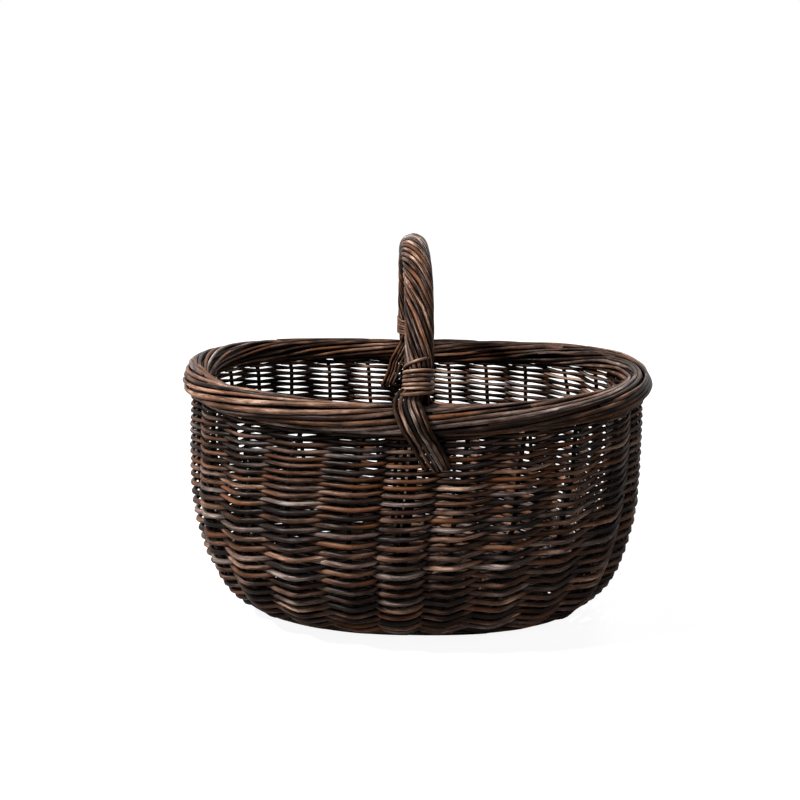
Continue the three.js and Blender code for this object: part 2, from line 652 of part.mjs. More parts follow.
// Rings of a bunch's end, from the foot of the handle over the border and down the wall
function tailRings(foot, inside) {
  const side = inside ? -1 : 1;
  const clear = ROPING_THICKNESS / 2 + ROPING_CLEARANCE;
  const bends = inside ? INSIDE_TAIL_BENDS : OUTSIDE_TAIL_BENDS;
  const halfBend = THREE.MathUtils.degToRad((bends[0] - bends[bends.length - 1]) / (bends.length - 1) / 2);
  const radius = (BORDER_THICKNESS / 2 + clear) / Math.cos(halfBend);
  const spots = bends.map((bend) => {
    const angle = THREE.MathUtils.degToRad(bend);
    return [side * radius * Math.cos(angle), radius * Math.sin(angle)];
  });
  const onWall = side * (rowOffset + WEAVE_THICKNESS / 2 + clear);
  const belowBorder = TAIL_DROP - BORDER_THICKNESS / 2;
  const rises = [wallLength - belowBorder / 2, wallLength - belowBorder];
  const bunchAngle = ropingPhase + (inside ? (turn * insideBunch) / ROPING_BUNCHES : 0);
  const begin = TANG_BESIDE_STAKE + ropingMiddle * Math.sin(bunchAngle) - TAIL_DRIFT / bends.length / 2;
  const count = spots.length + rises.length;
  const places = Array.from({ length: count }, (_, i) => {
    const drift = (TAIL_DRIFT * (i + 1)) / count;
    return footStakes[foot] + (begin + drift) / stakeSpace;
  });
  const points = spots.map(([out, rise], i) => rollPoint(places[i], out, rise));
  rises.forEach((rise, i) => points.push(wallPoint(places[spots.length + i], rise, onWall)));
  return points.map((point, i) => {
    const along = pathFrames(points)[i].along;
    const out = rollMiddle(places[i]).out.multiplyScalar(side);
    const across = up.clone().cross(out).multiplyScalar(foot === 0 ? 1 : -1);
    across.addScaledVector(along, -across.dot(along)).normalize();
    const face = along.clone().cross(across);
    if (face.dot(out) < 0) face.negate();
    return bunchSection(TAIL_WIDTH / 2, (width, height) =>
      point.clone().addScaledVector(across, width).addScaledVector(face, height),
    );
  });
}

// Six corners of a bunch: a broad side that lies against what it covers, and a crowned one
function bunchSection(half, corner) {
  const inner = -ROPING_THICKNESS / 2;
  const outer = ROPING_THICKNESS / 2;
  return [
    corner(-half, inner),
    corner(0, inner),
    corner(half, inner),
    corner(0.8 * half, 0.7 * outer),
    corner(0, outer),
    corner(-0.8 * half, 0.7 * outer),
  ];
}

// Section of a bunch laid on the bow, at a length along it and an angle round it from its outside
function bunchRing(length, angle) {
  const { centre, out } = archAt(length);
  const halfAngle = Math.PI / ROPING_BUNCHES - ROPING_GAP / 2 / ropingInner;
  return bunchSection(halfAngle, (turned, height) => {
    const radius = ropingMiddle + height;
    const spot = centre.clone().addScaledVector(out, radius * Math.cos(angle + turned));
    return spot.addScaledVector(bowSide, radius * Math.sin(angle + turned));
  });
}

// Bunches of thin rods, each laid round the bow as one flat strand; some end in tails over the border
function addRoping() {
  const steps = 40;
  const length = archLength - 2 * ropingStart;
  const turned = turn * ROPING_TURNS - 2 * ropingPhase;
  const lastBunch = Math.round((turned / turn) * ROPING_BUNCHES) % ROPING_BUNCHES;
  const lastInside = (lastBunch + ROPING_BUNCHES - insideBunch) % ROPING_BUNCHES;
  for (let bunch = 0; bunch < ROPING_BUNCHES; bunch += 1) {
    const rings = [];
    const first = ropingPhase + (turn * bunch) / ROPING_BUNCHES;
    for (let i = 0; i <= steps; i += 1) {
      const angle = first - (turn * ROPING_TURNS * i) / steps;
      rings.push(bunchRing(ropingStart + (length * i) / steps, angle));
    }
    if (bunch === 0) rings.unshift(...tailRings(0, false).reverse());
    if (bunch === insideBunch) rings.unshift(...tailRings(0, true).reverse());
    if (bunch === lastBunch) rings.push(...tailRings(1, false));
    if (bunch === lastInside) rings.push(...tailRings(1, true));
    addPart(`handle_bunch_${bunch + 1}`, ringSolid(rings, false), handleColour, 0.5);
  }
}

// Lashing round the foot of the handle, one unbroken rod wound in a helix
function lashingSolid(atBack) {
  const steps = 16;
  const radius = ropingOuter + WRAP_CLEARANCE + WRAP_DIAMETER / 2;
  const points = [];
  for (let i = 0; i <= steps * WRAP_LOOPS; i += 1) {
    const climb = BORDER_THICKNESS / 2 + WRAP_ABOVE_BORDER + (WRAP_PITCH * i) / steps;
    const { centre, out } = archAt(atBack ? archLength - climb : climb);
    const angle = (turn * i) / steps;
    const spot = centre.addScaledVector(out, radius * Math.cos(angle));
    points.push(spot.addScaledVector(bowSide, radius * Math.sin(angle) * (atBack ? -1 : 1)));
  }
  const half = Array(points.length).fill(WRAP_DIAMETER / 2);
  const name = atBack ? "handle_lashing_back" : "handle_lashing_front";
  console.log(name, "least gap between its loops", leastGap(points, steps).toFixed(2), "mm");
  addPart(name, rodSolid(points, half, half, 6), handleColour, 0.45);
}

// Least distance between points of a winding that lie over half a loop apart, less its thickness
function leastGap(points, steps) {
  let least = Infinity;
  for (let i = 0; i < points.length; i += 1) {
    for (let j = i + Math.ceil(steps / 2); j < points.length; j += 1) {
      least = Math.min(least, points[i].distanceTo(points[j]));
    }
  }
  return least - WRAP_DIAMETER;
}

addStakes();
addWallCourses();
addBaseCourses();
addBaseSticks();
addPart("handle_bow", bowSolid(), barkColour, 0.5);
addRoping();
lashingSolid(false);
lashingSolid(true);

export default basket;
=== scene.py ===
import math

import bpy
import numpy as np
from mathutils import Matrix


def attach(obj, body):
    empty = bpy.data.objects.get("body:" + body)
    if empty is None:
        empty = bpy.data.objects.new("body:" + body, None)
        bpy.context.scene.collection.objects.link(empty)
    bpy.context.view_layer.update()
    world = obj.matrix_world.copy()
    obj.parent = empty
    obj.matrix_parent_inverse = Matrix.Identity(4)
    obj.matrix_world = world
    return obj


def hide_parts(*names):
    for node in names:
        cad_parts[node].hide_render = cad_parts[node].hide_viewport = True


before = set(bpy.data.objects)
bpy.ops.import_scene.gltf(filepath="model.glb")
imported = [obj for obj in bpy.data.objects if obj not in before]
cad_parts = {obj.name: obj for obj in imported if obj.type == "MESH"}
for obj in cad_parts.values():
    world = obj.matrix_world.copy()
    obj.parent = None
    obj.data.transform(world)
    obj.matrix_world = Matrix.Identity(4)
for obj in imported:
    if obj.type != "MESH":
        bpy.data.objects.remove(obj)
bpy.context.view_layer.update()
bpy.ops.object.select_all(action="DESELECT")

# Base sticks: the cross that the base starts from. Nine short sticks of thick willow are split in
# their middles, and four long sticks are pushed through the slits; all thirteen then fan out.

STAKE_COUNT = 26
HALF_COUNT = STAKE_COUNT // 2
FOOT_STAKES = (0, HALF_COUNT)
RIM_HALF_LENGTH = 0.213
RIM_HALF_WIDTH = 0.1445
RIM_STEPS = 40
BASE_HALF_LENGTH = 0.132
BASE_HALF_WIDTH = 0.084
OVAL_POWER = 2.37
FRONT_STAKE_X = -0.0075
STAKE_DRIFTS = np.array([
    0, 0, 0.1, 0.2, 0.34, 0.4, 0.4, 0.34, 0.26, 0.18, 0.21, 0.23, 0.2,
    0.06, 0.25, 0.27, 0.26, 0.18, 0.05, -0.08, -0.2, -0.3, -0.38, -0.34, -0.22, 0.03,
])
BASE_HEIGHT = 0.0077
CROSS_STICKS = 9
CROSS_REACH = CROSS_STICKS // 2
LONG_STICKS = 4
CROSS_STICK_PITCH = 0.012
LONG_STICK_PITCH = 0.0063
BUNDLE_HALF = 0.0146
FAN_START = 0.9
STICK_STEPS = 40
STICK_BENDS = (0.2, 0.8)
STICK_INSET = 0.03
STICK_RADIUS = 0.003
STICK_POINT_STEPS = 6
STICK_POINT = 0.45
STICK_TONES = (0.2, 0.8)
SPLIT_HALF_RADIUS = 0.0021
SPLIT_SWELL = 0.0005
SPLIT_OPEN = 0.0049
SPLIT_SHUT = 0.001
SPLIT_CLOSES_IN = 0.02
ROD_UNIT = 0.001
CUT_LENGTH = 0.2
CUT_RADIUS = 0.72
GRAIN_RANGE = 3
SAME_PLACE = 1e-6
SMOOTH_UP_TO = math.radians(55)

chance = np.random.default_rng(26)
up = np.array([0.0, 0.0, 1.0])


def signed_power(value, power):
    return np.sign(value) * np.abs(value) ** power


def oval(half_length, half_width, angle):
    """Point of the basket's oval, by angle from the middle of the front towards +X"""
    x = half_length * signed_power(np.sin(angle), 2 / OVAL_POWER)
    y = -half_width * signed_power(np.cos(angle), 2 / OVAL_POWER)
    return x, y


rim_angles = np.linspace(0, 2 * math.pi, RIM_STEPS * STAKE_COUNT + 1)
rim_x, rim_y = oval(RIM_HALF_LENGTH, RIM_HALF_WIDTH, rim_angles)
rim_run = np.concatenate([[0], np.cumsum(np.hypot(np.diff(rim_x), np.diff(rim_y)))])
stake_space = rim_run[-1] / STAKE_COUNT


def angle_at(place):
    """Angle of a place round the basket, counted in stakes from the front middle one"""
    place = np.asarray(place, float)
    before = np.floor(place).astype(int)
    part = place - before
    drifts = [STAKE_DRIFTS[(before + i) % STAKE_COUNT] for i in (-1, 0, 1, 2)]
    ease = part * part * (3 - 2 * part)
    slopes = (drifts[2] - drifts[0]) / 2, (drifts[3] - drifts[1]) / 2
    bend = part * (1 - part) * ((1 - part) * slopes[0] - part * slopes[1])
    drift = drifts[1] + (drifts[2] - drifts[1]) * ease + bend
    share = np.mod((place + drift + FRONT_STAKE_X / stake_space) / STAKE_COUNT, 1)
    return np.interp(share * rim_run[-1], rim_run, rim_angles)


def slath_point(stake):
    """Where a base stick leaves the bundle in the middle of the base"""
    if stake <= CROSS_REACH:
        return stake * CROSS_STICK_PITCH, -BUNDLE_HALF
    if stake >= STAKE_COUNT - CROSS_REACH:
        return (stake - STAKE_COUNT) * CROSS_STICK_PITCH, -BUNDLE_HALF
    if abs(stake - HALF_COUNT) <= CROSS_REACH:
        return (HALF_COUNT - stake) * CROSS_STICK_PITCH, BUNDLE_HALF
    end = 1 if stake < HALF_COUNT else -1
    middle = HALF_COUNT - end * HALF_COUNT / 2
    return end * (CROSS_REACH + FAN_START) * CROSS_STICK_PITCH, end * (stake - middle) * LONG_STICK_PITCH


slath_points = np.array([slath_point(stake) for stake in range(STAKE_COUNT)])


def base_point(place, inward, down):
    """Point of the base, by place round it, share of the way in from its edge, and depth below"""
    place = np.asarray(place, float)
    low = np.floor(place).astype(int)
    part = (place - low)[..., None]
    inner = slath_points[low % STAKE_COUNT] * (1 - part) + slath_points[(low + 1) % STAKE_COUNT] * part
    edge = np.stack(oval(BASE_HALF_LENGTH, BASE_HALF_WIDTH, angle_at(place)), -1)
    share = np.broadcast_to(inward, place.shape)[..., None]
    flat = edge * (1 - share) + inner * share
    height = BASE_HEIGHT - np.broadcast_to(down, place.shape)
    return np.concatenate([flat, height[..., None]], -1)


def along_curve(points, count):
    """The points spread evenly on a smooth curve through the given ones"""
    points = np.asarray(points, float)
    run = np.concatenate([[0], np.cumsum(np.linalg.norm(np.diff(points, axis=0), axis=1))])
    slopes = np.gradient(points, run, axis=0)
    at = np.linspace(0, run[-1], count)
    low = np.clip(np.searchsorted(run, at, side="right") - 1, 0, len(run) - 2)
    gap = (run[low + 1] - run[low])[:, None]
    part = (at[:, None] - run[low][:, None]) / gap
    ease = part * part * (3 - 2 * part)
    bend = part * (1 - part) * gap * ((1 - part) * slopes[low] - part * slopes[low + 1])
    return points[low] * (1 - ease) + points[low + 1] * ease + bend


def wander(count, spots, size):
    """A smooth random line, as a rod wavers: at how many spots it turns, and how far it strays"""
    marks = chance.normal(0, size, spots + 2)
    at = np.linspace(0, spots, count)
    low = np.minimum(at.astype(int), spots)
    part = at - low
    ease = part * part * (3 - 2 * part)
    return marks[low] * (1 - ease) + marks[low + 1] * ease


def cut_rod(points, radii, tone=None, warmth=None):
    """One willow rod: its path, its radius along it with both ends cut, its own tone and warmth"""
    points = np.asarray(points, float)
    radii = np.broadcast_to(radii, len(points)).astype(float)
    start = points[0] - points[1]
    end = points[-1] - points[-2]
    start *= CUT_LENGTH * radii[0] / np.linalg.norm(start)
    end *= CUT_LENGTH * radii[-1] / np.linalg.norm(end)
    points = np.vstack([points[0] + start, points, points[-1] + end])
    radii = np.concatenate([[CUT_RADIUS * radii[0]], radii, [CUT_RADIUS * radii[-1]]])
    looks = []
    for look in (tone, warmth):
        if look is None:
            look = chance.uniform()
        look = np.broadcast_to(look, len(points) - 2)
        looks.append(np.concatenate([look[:1], look, look[-1:]]))
    return points, radii, looks


def lay_rods(name, rods, sides=8):
    """One piece made of rods, with the bark's coordinates and each rod's tone and warmth on its mesh"""
    bpy.ops.object.select_all(action="DESELECT")
    bpy.ops.curve.primitive_nurbs_path_add()
    piece = bpy.context.object
    piece.name = name
    curve = piece.data
    curve.splines.clear()
    for points, radii, _ in rods:
        spline = curve.splines.new("POLY")
        spline.points.add(len(points) - 1)
        spline.points.foreach_set("co", np.column_stack([points, np.ones(len(points))]).ravel())
        spline.points.foreach_set("radius", radii / ROD_UNIT)
    curve.dimensions = "3D"
    curve.twist_mode = "MINIMUM"
    curve.bevel_depth = ROD_UNIT
    curve.bevel_resolution = (sides - 4) // 2
    curve.use_fill_caps = True
    bpy.ops.object.convert(target="MESH")
    mesh = piece.data
    mesh.name = name
    tubes = []
    caps = []
    around = np.arange(sides) * 2 * math.pi / sides
    for points, radii, (tone, warmth) in rods:
        run = np.concatenate([[0], np.cumsum(np.linalg.norm(np.diff(points, axis=0), axis=1))])
        marks = np.ones((len(points), sides, 7))
        marks[..., 0] = radii[:, None] * np.cos(around)
        marks[..., 1] = radii[:, None] * np.sin(around)
        marks[..., 2] = run[:, None]
        marks[..., :3] += chance.uniform(0, GRAIN_RANGE, 3)
        marks[..., 3] = tone[:, None]
        marks[..., 4] = warmth[:, None]
        tubes.append(marks.reshape(-1, 7))
        caps.append(np.vstack([marks[-1], marks[0]]))
    marks = np.vstack(caps[::-1] + tubes).astype(np.float32)
    grain = mesh.attributes.new("grain", "FLOAT_VECTOR", "POINT")
    grain.data.foreach_set("vector", np.ascontiguousarray(marks[:, :3]).ravel())
    shade = mesh.attributes.new("rod", "FLOAT_COLOR", "POINT")
    shade.data.foreach_set("color", np.ascontiguousarray(marks[:, 3:]).ravel())
    bpy.ops.object.mode_set(mode="EDIT")
    bpy.ops.mesh.select_all(action="SELECT")
    bpy.ops.mesh.remove_doubles(threshold=SAME_PLACE)
    bpy.ops.mesh.normals_make_consistent(inside=False)
    bpy.ops.object.mode_set(mode="OBJECT")
    bpy.ops.object.shade_smooth_by_angle(angle=SMOOTH_UP_TO)
    piece.select_set(False)
    return piece


def add_node(tree, kind, values=None, **settings):
    """A node with its settings, its inputs set to values or joined to other nodes' outputs"""
    node = tree.nodes.new(kind)
    for key, value in settings.items():
        setattr(node, key, value)
    for key, value in (values or {}).items():
        if isinstance(value, bpy.types.NodeSocket):
            tree.links.new(value, node.inputs[key])
        else:
            node.inputs[key].default_value = value
    return node


def colour_ramp(tree, factor, stops):
    """A ramp through the given places and colours"""
    node = add_node(tree, "ShaderNodeValToRGB", {"Fac": factor})
    ramp = node.color_ramp
    while len(ramp.elements) < len(stops):
        ramp.elements.new(0.5)
    for element, (place, colour) in zip(ramp.elements, stops):
        element.position = place
        element.color = (*colour, 1)
    return node.outputs["Color"]


STREAK_GRAIN = ((1, 1, 0.05), 1300, 3)
STREAK_RANGE = (0.3, 0.7)
PATCH_GRAIN = ((1, 1, 0.4), 85, 3)
PATCH_RANGE = (0.34, 0.66)
FLECK_GRAIN = ((1, 1, 0.45), 520, 2)
FLECK_RANGE = (0.56, 0.7)
STAIN_GRAIN = ((1, 1, 0.2), 60, 2)
STAIN_RANGE = (0.5, 0.64)
SHEEN_RANGE = (0.2, 1.8)
TONE_OF_ROD = 0.42
TONE_OF_PATCH = 0.32
GREY_RODS = (0.1, 0.45)
MOST_GREY = 0.75
FLECK_STRENGTH = 0.5
# Painted shade: how far the ambient occlusion looks for neighbouring rods, and how strongly it darkens the
# grooves between them
GROOVE_SHADE_REACH = 0.012
GROOVE_SHADE_OPEN = (0.3, 0.95)
GROOVE_SHADE_STRENGTH = 0.97
SHEEN_ROUGHNESS = (0.24, 0.42)
STREAK_RELIEF = 0.7
PATCH_RELIEF = 0.5
BROWN_BARK = [
    (0.15, (0.0045, 0.0026, 0.0020)),
    (0.45, (0.0240, 0.0125, 0.0082)),
    (0.72, (0.1800, 0.0930, 0.0600)),
    (0.95, (0.6000, 0.3900, 0.2800)),
]
GREY_BARK = [
    (0.15, (0.0042, 0.0036, 0.0036)),
    (0.45, (0.0200, 0.0165, 0.0160)),
    (0.72, (0.1400, 0.1150, 0.1080)),
    (0.95, (0.4900, 0.4200, 0.3900)),
]
RED_STAIN = (0.185, 0.066, 0.024, 1)
DARK_FLECK = (0.006, 0.004, 0.0035, 1)
# Near-black painted shade for the grooves between rods
GROOVE_PAINTED_SHADE = (0.0015, 0.0010, 0.0008, 1)


def make_bark():
    """Stained bark: streaks along each rod, patches, flecks, a tone of its own, and painted shade in the
    grooves between rods
    """
    tree = bpy.data.node_groups.new("willow bark", "ShaderNodeTree")
    for name, value in (("Shade", 0.0), ("Warmth", 0.5), ("Streaks", 0.3)):
        socket = tree.interface.new_socket(name, in_out="INPUT", socket_type="NodeSocketFloat")
        socket.default_value = value
    tree.interface.new_socket("Color", in_out="OUTPUT", socket_type="NodeSocketColor")
    tree.interface.new_socket("Roughness", in_out="OUTPUT", socket_type="NodeSocketFloat")
    tree.interface.new_socket("Height", in_out="OUTPUT", socket_type="NodeSocketFloat")
    given = tree.nodes.new("NodeGroupInput").outputs
    grain = add_node(tree, "ShaderNodeAttribute", attribute_name="grain").outputs["Vector"]
    rod = add_node(tree, "ShaderNodeAttribute", attribute_name="rod").outputs["Color"]
    own = add_node(tree, "ShaderNodeSeparateColor", {"Color": rod}).outputs

    def noise(stretch, scale, detail):
        place = add_node(tree, "ShaderNodeVectorMath", {0: grain, 1: stretch}, operation="MULTIPLY")
        values = {"Vector": place.outputs[0], "Scale": scale, "Detail": detail}
        return add_node(tree, "ShaderNodeTexNoise", values).outputs["Fac"]

    def combine(operation, first, second):
        return add_node(tree, "ShaderNodeMath", {0: first, 1: second}, operation=operation).outputs[0]

    def spread(value, low, high, to_low=0.0, to_high=1.0):
        values = {"Value": value, "From Min": low, "From Max": high, "To Min": to_low, "To Max": to_high}
        return add_node(tree, "ShaderNodeMapRange", values).outputs[0]

    def blend(factor, first, second):
        return add_node(tree, "ShaderNodeMix", {0: factor, 6: first, 7: second}, data_type="RGBA").outputs[2]

    streak = spread(noise(*STREAK_GRAIN), *STREAK_RANGE)
    patch = spread(noise(*PATCH_GRAIN), *PATCH_RANGE)
    fleck = spread(noise(*FLECK_GRAIN), *FLECK_RANGE, 0.0, FLECK_STRENGTH)
    tone = combine("MULTIPLY", own["Red"], TONE_OF_ROD)
    tone = combine("ADD", tone, combine("MULTIPLY", patch, TONE_OF_PATCH))
    tone = combine("ADD", tone, combine("MULTIPLY", streak, given["Streaks"]))
    tone = combine("ADD", tone, given["Shade"])
    brown = colour_ramp(tree, tone, BROWN_BARK)
    grey = colour_ramp(tree, tone, GREY_BARK)
    bark = blend(spread(own["Green"], *GREY_RODS, MOST_GREY, 0.0), brown, grey)
    stain = spread(noise(*STAIN_GRAIN), *STAIN_RANGE)
    stain = combine("MULTIPLY", stain, combine("MULTIPLY", own["Green"], given["Warmth"]))
    stained = blend(stain, bark, RED_STAIN)
    flecked = blend(fleck, stained, DARK_FLECK)
    # Painted shade: the bark is darkened towards near black where the ambient occlusion finds other rods
    # close, in the grooves between rods
    distance = {"Distance": GROOVE_SHADE_REACH}
    open_side = add_node(tree, "ShaderNodeAmbientOcclusion", distance, samples=8).outputs["AO"]
    painted_groove_shade = spread(open_side, *GROOVE_SHADE_OPEN, GROOVE_SHADE_STRENGTH, 0.0)
    with_groove_shade = blend(painted_groove_shade, flecked, GROOVE_PAINTED_SHADE)
    roughness = spread(combine("ADD", streak, patch), *SHEEN_RANGE, *SHEEN_ROUGHNESS)
    height = combine("MULTIPLY", patch, PATCH_RELIEF)
    height = combine("ADD", combine("MULTIPLY", streak, STREAK_RELIEF), height)
    leave = tree.nodes.new("NodeGroupOutput").inputs
    tree.links.new(with_groove_shade, leave["Color"])
    tree.links.new(roughness, leave["Roughness"])
    tree.links.new(height, leave["Height"])
    return tree


bark_group = make_bark()
RELIEF_DEPTH = 0.0003
RELIEF_STRENGTH = 0.8
COAT_WEIGHT = 0.02
COAT_ROUGHNESS = 0.2


def willow(name, shade=0.0, warmth=0.5, streaks=0.3, gloss=0.06):
    """Willow of one kind: the bark with its own depth of stain and its own sheen; on the core rods the extra
    darkening is painted shade
    """
    material = bpy.data.materials.new(name)
    material.use_nodes = True
    tree = material.node_tree
    shader = tree.nodes["Principled BSDF"]
    bark = add_node(tree, "ShaderNodeGroup", node_tree=bark_group)
    bark.inputs["Shade"].default_value = shade
    bark.inputs["Warmth"].default_value = warmth
    bark.inputs["Streaks"].default_value = streaks
    relief = add_node(tree, "ShaderNodeBump", {
        "Height": bark.outputs["Height"], "Distance": RELIEF_DEPTH, "Strength": RELIEF_STRENGTH,
    })
    tree.links.new(bark.outputs["Color"], shader.inputs["Base Color"])
    tree.links.new(bark.outputs["Roughness"], shader.inputs["Roughness"])
    tree.links.new(relief.outputs["Normal"], shader.inputs["Normal"])
    shader.inputs["Specular IOR Level"].default_value = gloss
    shader.inputs["Coat Weight"].default_value = COAT_WEIGHT
    shader.inputs["Coat Roughness"].default_value = COAT_ROUGHNESS
    return material


def finish_piece(piece, material, slot, *nodes):
    """Gives a piece its finish and puts it in the place of the solids that it stands for"""
    piece.data.materials.clear()
    piece.data.materials.append(material)
    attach(piece, "root")
    if nodes:
        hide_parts(*nodes)


def stick_path(places):
    """A base stick's line: straight through the bundle, and bent towards its ends on both sides"""
    ends = [base_point(place, STICK_INSET, 0) for place in places]
    inner = [base_point(place, 1, 0) for place in places]
    bends = [inner[0] + (inner[1] - inner[0]) * share for share in STICK_BENDS]
    return along_curve([ends[0], inner[0], *bends, inner[1], ends[1]], STICK_STEPS)


steps_from_end = np.minimum(np.arange(STICK_STEPS), np.arange(STICK_STEPS)[::-1])
stick_taper = np.clip(steps_from_end / STICK_POINT_STEPS, STICK_POINT, 1)


def cross_stick(stick):
    """The two halves of one split stick, apart where the long sticks go through"""
    path = stick_path((stick, HALF_COUNT - stick))
    shut = np.clip((np.abs(path[:, 1]) - BUNDLE_HALF) / SPLIT_CLOSES_IN, 0, 1)
    apart = SPLIT_SHUT + (SPLIT_OPEN - SPLIT_SHUT) * (1 - shut * shut * (3 - 2 * shut))
    swell = (SPLIT_OPEN - apart) / (SPLIT_OPEN - SPLIT_SHUT)
    radii = (SPLIT_HALF_RADIUS + SPLIT_SWELL * swell) * stick_taper
    tone = chance.uniform(*STICK_TONES)
    return [cut_rod(path + up * apart[:, None] * way, radii, tone) for way in (1, -1)]


def long_stick(stick):
    """One long stick, from a fan at one end of the bundle to the fan at the other"""
    place = CROSS_REACH + 1 + stick
    path = stick_path((place, STAKE_COUNT - place))
    return cut_rod(path, STICK_RADIUS * stick_taper, chance.uniform(*STICK_TONES))


stick_willow = willow("stained stick willow", warmth=0.4)
cross_rods = [half for stick in range(-CROSS_REACH, CROSS_REACH + 1) for half in cross_stick(stick)]
cross_piece = lay_rods("base_cross_sticks", cross_rods)
cross_nodes = [f"base_cross_stick_{i}" for i in range(1, CROSS_STICKS + 1)]
finish_piece(cross_piece, stick_willow, "base_sticks", *cross_nodes)
long_piece = lay_rods("base_long_sticks", [long_stick(stick) for stick in range(LONG_STICKS)])
long_nodes = [f"base_long_stick_{i}" for i in range(1, LONG_STICKS + 1)]
finish_piece(long_piece, stick_willow, "base_sticks", *long_nodes)

# Base weave: pairing, two rods twisted round each other between the sticks, from the bundle out
# to the edge. New rods are laid in as the old ones run out, every three rounds.

PAIRING_ROUNDS = 15
PAIRING_FROM = 1.0
PAIRING_TO = -0.02
PAIRING_RADIUS = 0.0021
PAIRING_SWING = 0.0052
PAIRING_STEPS = 6
PAIRING_OVERLAP = 0.4
PAIRING_SHIFT = 0.37
PAIRING_RUNS_OUT = 4
PAIRING_WAVER = 0.0001
PAIRING_SIZES = (0.95, 1.05)
ROUNDS_PER_ROD = 3


def pairing_rods():
    """Rods of the base, each passing over one stick and under the next"""
    rods = []
    spaces = ROUNDS_PER_ROD * STAKE_COUNT
    steps = (spaces + 1) * PAIRING_STEPS
    for phase in (0, 1):
        for first in range(0, PAIRING_ROUNDS, ROUNDS_PER_ROD):
            place = np.linspace(-PAIRING_OVERLAP, spaces + PAIRING_OVERLAP, steps)
            place = place + first * STAKE_COUNT + phase + first * PAIRING_SHIFT
            share = np.clip(place / (PAIRING_ROUNDS * STAKE_COUNT + PAIRING_RUNS_OUT), 0, 1)
            inward = PAIRING_FROM + (PAIRING_TO - PAIRING_FROM) * share
            down = PAIRING_SWING * np.cos(math.pi * (place + phase))
            down = down + wander(steps, spaces, PAIRING_WAVER)
            radius = PAIRING_RADIUS * chance.uniform(*PAIRING_SIZES)
            rods.append(cut_rod(base_point(place, inward, down), radius))
    return rods


weave_willow = willow("stained weaving willow", warmth=0.75)
base_weave = lay_rods("base_weave", pairing_rods(), sides=6)
finish_piece(base_weave, weave_willow, "weave", "base_course_1", "base_course_2")

# Stakes and border: twenty-six rods pushed into the base beside its sticks and kinked upwards.
# At the top each is bent over to the right and rolled with the others into a thick twisted rim.

BORDER_HEIGHT = 0.232
BORDER_LIFT = 0.009
BORDER_OVERHANG = 0.0025
BORDER_RADIUS = 0.0145
BELLY_SWELL = 0.003
BELLY_HEIGHT = 0.150
WALL_TOP = 0.2192
WALL_POWER = 2.2
BELLY_STEPS = 160
TOP_STEPS = 40
FULLER_RISES = (0, 0.012, 0.03, 0.06, 0.10, 0.15)
FULLER_ENDS = (0.002, 0.0095, 0.0105, 0.0060, 0.0020, 0.0006)
LEAN_AT_TOP = 0.13
LEAN_FROM = 0.6
LEAN_SHARES = (0, 0.2, 0.5, 0.8)
LEAN_BELOW = (0, -0.2, -0.15, 0)
SWAY = 0.035
SWAY_ROWS = 6
PLACE_STEP = 0.02
RISE_STEP = 0.0004

quarter = np.linspace(0, math.pi / 2, BELLY_STEPS + 1)
top_part = np.linspace(0, 1, TOP_STEPS + 1)[1:]
spreads = np.concatenate([np.sin(quarter) ** (2 / WALL_POWER), np.ones(TOP_STEPS)])
leans = np.concatenate([np.zeros(BELLY_STEPS + 1), top_part**2])
climbs = BASE_HEIGHT + (BELLY_HEIGHT - BASE_HEIGHT) * (1 - np.cos(quarter) ** (2 / WALL_POWER))
heights = np.concatenate([climbs, BELLY_HEIGHT + (WALL_TOP - BELLY_HEIGHT) * top_part])
belly_length = RIM_HALF_LENGTH + BELLY_SWELL
belly_width = RIM_HALF_WIDTH + BELLY_SWELL
half_lengths = BASE_HALF_LENGTH + (belly_length - BASE_HALF_LENGTH) * spreads - BELLY_SWELL * leans
half_widths = BASE_HALF_WIDTH + (belly_width - BASE_HALF_WIDTH) * spreads - BELLY_SWELL * leans
steps_up = np.hypot(np.diff(half_lengths), np.diff(heights))
rises = np.concatenate([[0], np.cumsum(steps_up)])
wall_length = rises[-1]
half_lengths = half_lengths + np.interp(rises, FULLER_RISES, FULLER_ENDS)
stake_sway = chance.normal(0, SWAY, (STAKE_COUNT, SWAY_ROWS + 1))
stake_sway[:, 0] = 0
stake_sway[:, -1] = 0


def standing(place, rise):
    """Where a place comes to at a height: the stakes lean to the right and sway a little"""
    place = np.asarray(place, float)
    share = np.clip(np.asarray(rise, float) / wall_length, 0, 1)
    row = np.minimum((share * SWAY_ROWS).astype(int), SWAY_ROWS - 1)
    part = share * SWAY_ROWS - row
    part = part * part * (3 - 2 * part)
    low = np.floor(place).astype(int)
    across = place - low
    sway = 0
    for side, weight in ((0, 1 - across), (1, across)):
        marks = stake_sway[(low + side) % STAKE_COUNT]
        below = np.take_along_axis(marks, row[..., None], -1)[..., 0]
        above = np.take_along_axis(marks, row[..., None] + 1, -1)[..., 0]
        sway = sway + weight * (below * (1 - part) + above * part)
    lean = LEAN_AT_TOP * np.clip((share - LEAN_FROM) / (1 - LEAN_FROM), 0, 1) ** 2
    return place + sway + lean + np.interp(share, LEAN_SHARES, LEAN_BELOW)


def wall_surface(place, rise):
    """Point on the line of the stakes, by place round the basket and distance up the wall"""
    half_length = np.interp(rise, rises, half_lengths)
    half_width = np.interp(rise, rises, half_widths)
    x, y = oval(half_length, half_width, angle_at(place))
    height = np.interp(rise, rises, heights)
    z = height + BORDER_LIFT * (x / RIM_HALF_LENGTH) ** 2 * (height / BORDER_HEIGHT) ** 2
    return np.stack([x, y, z], -1)


def unit(vectors):
    return vectors / np.linalg.norm(vectors, axis=-1, keepdims=True)


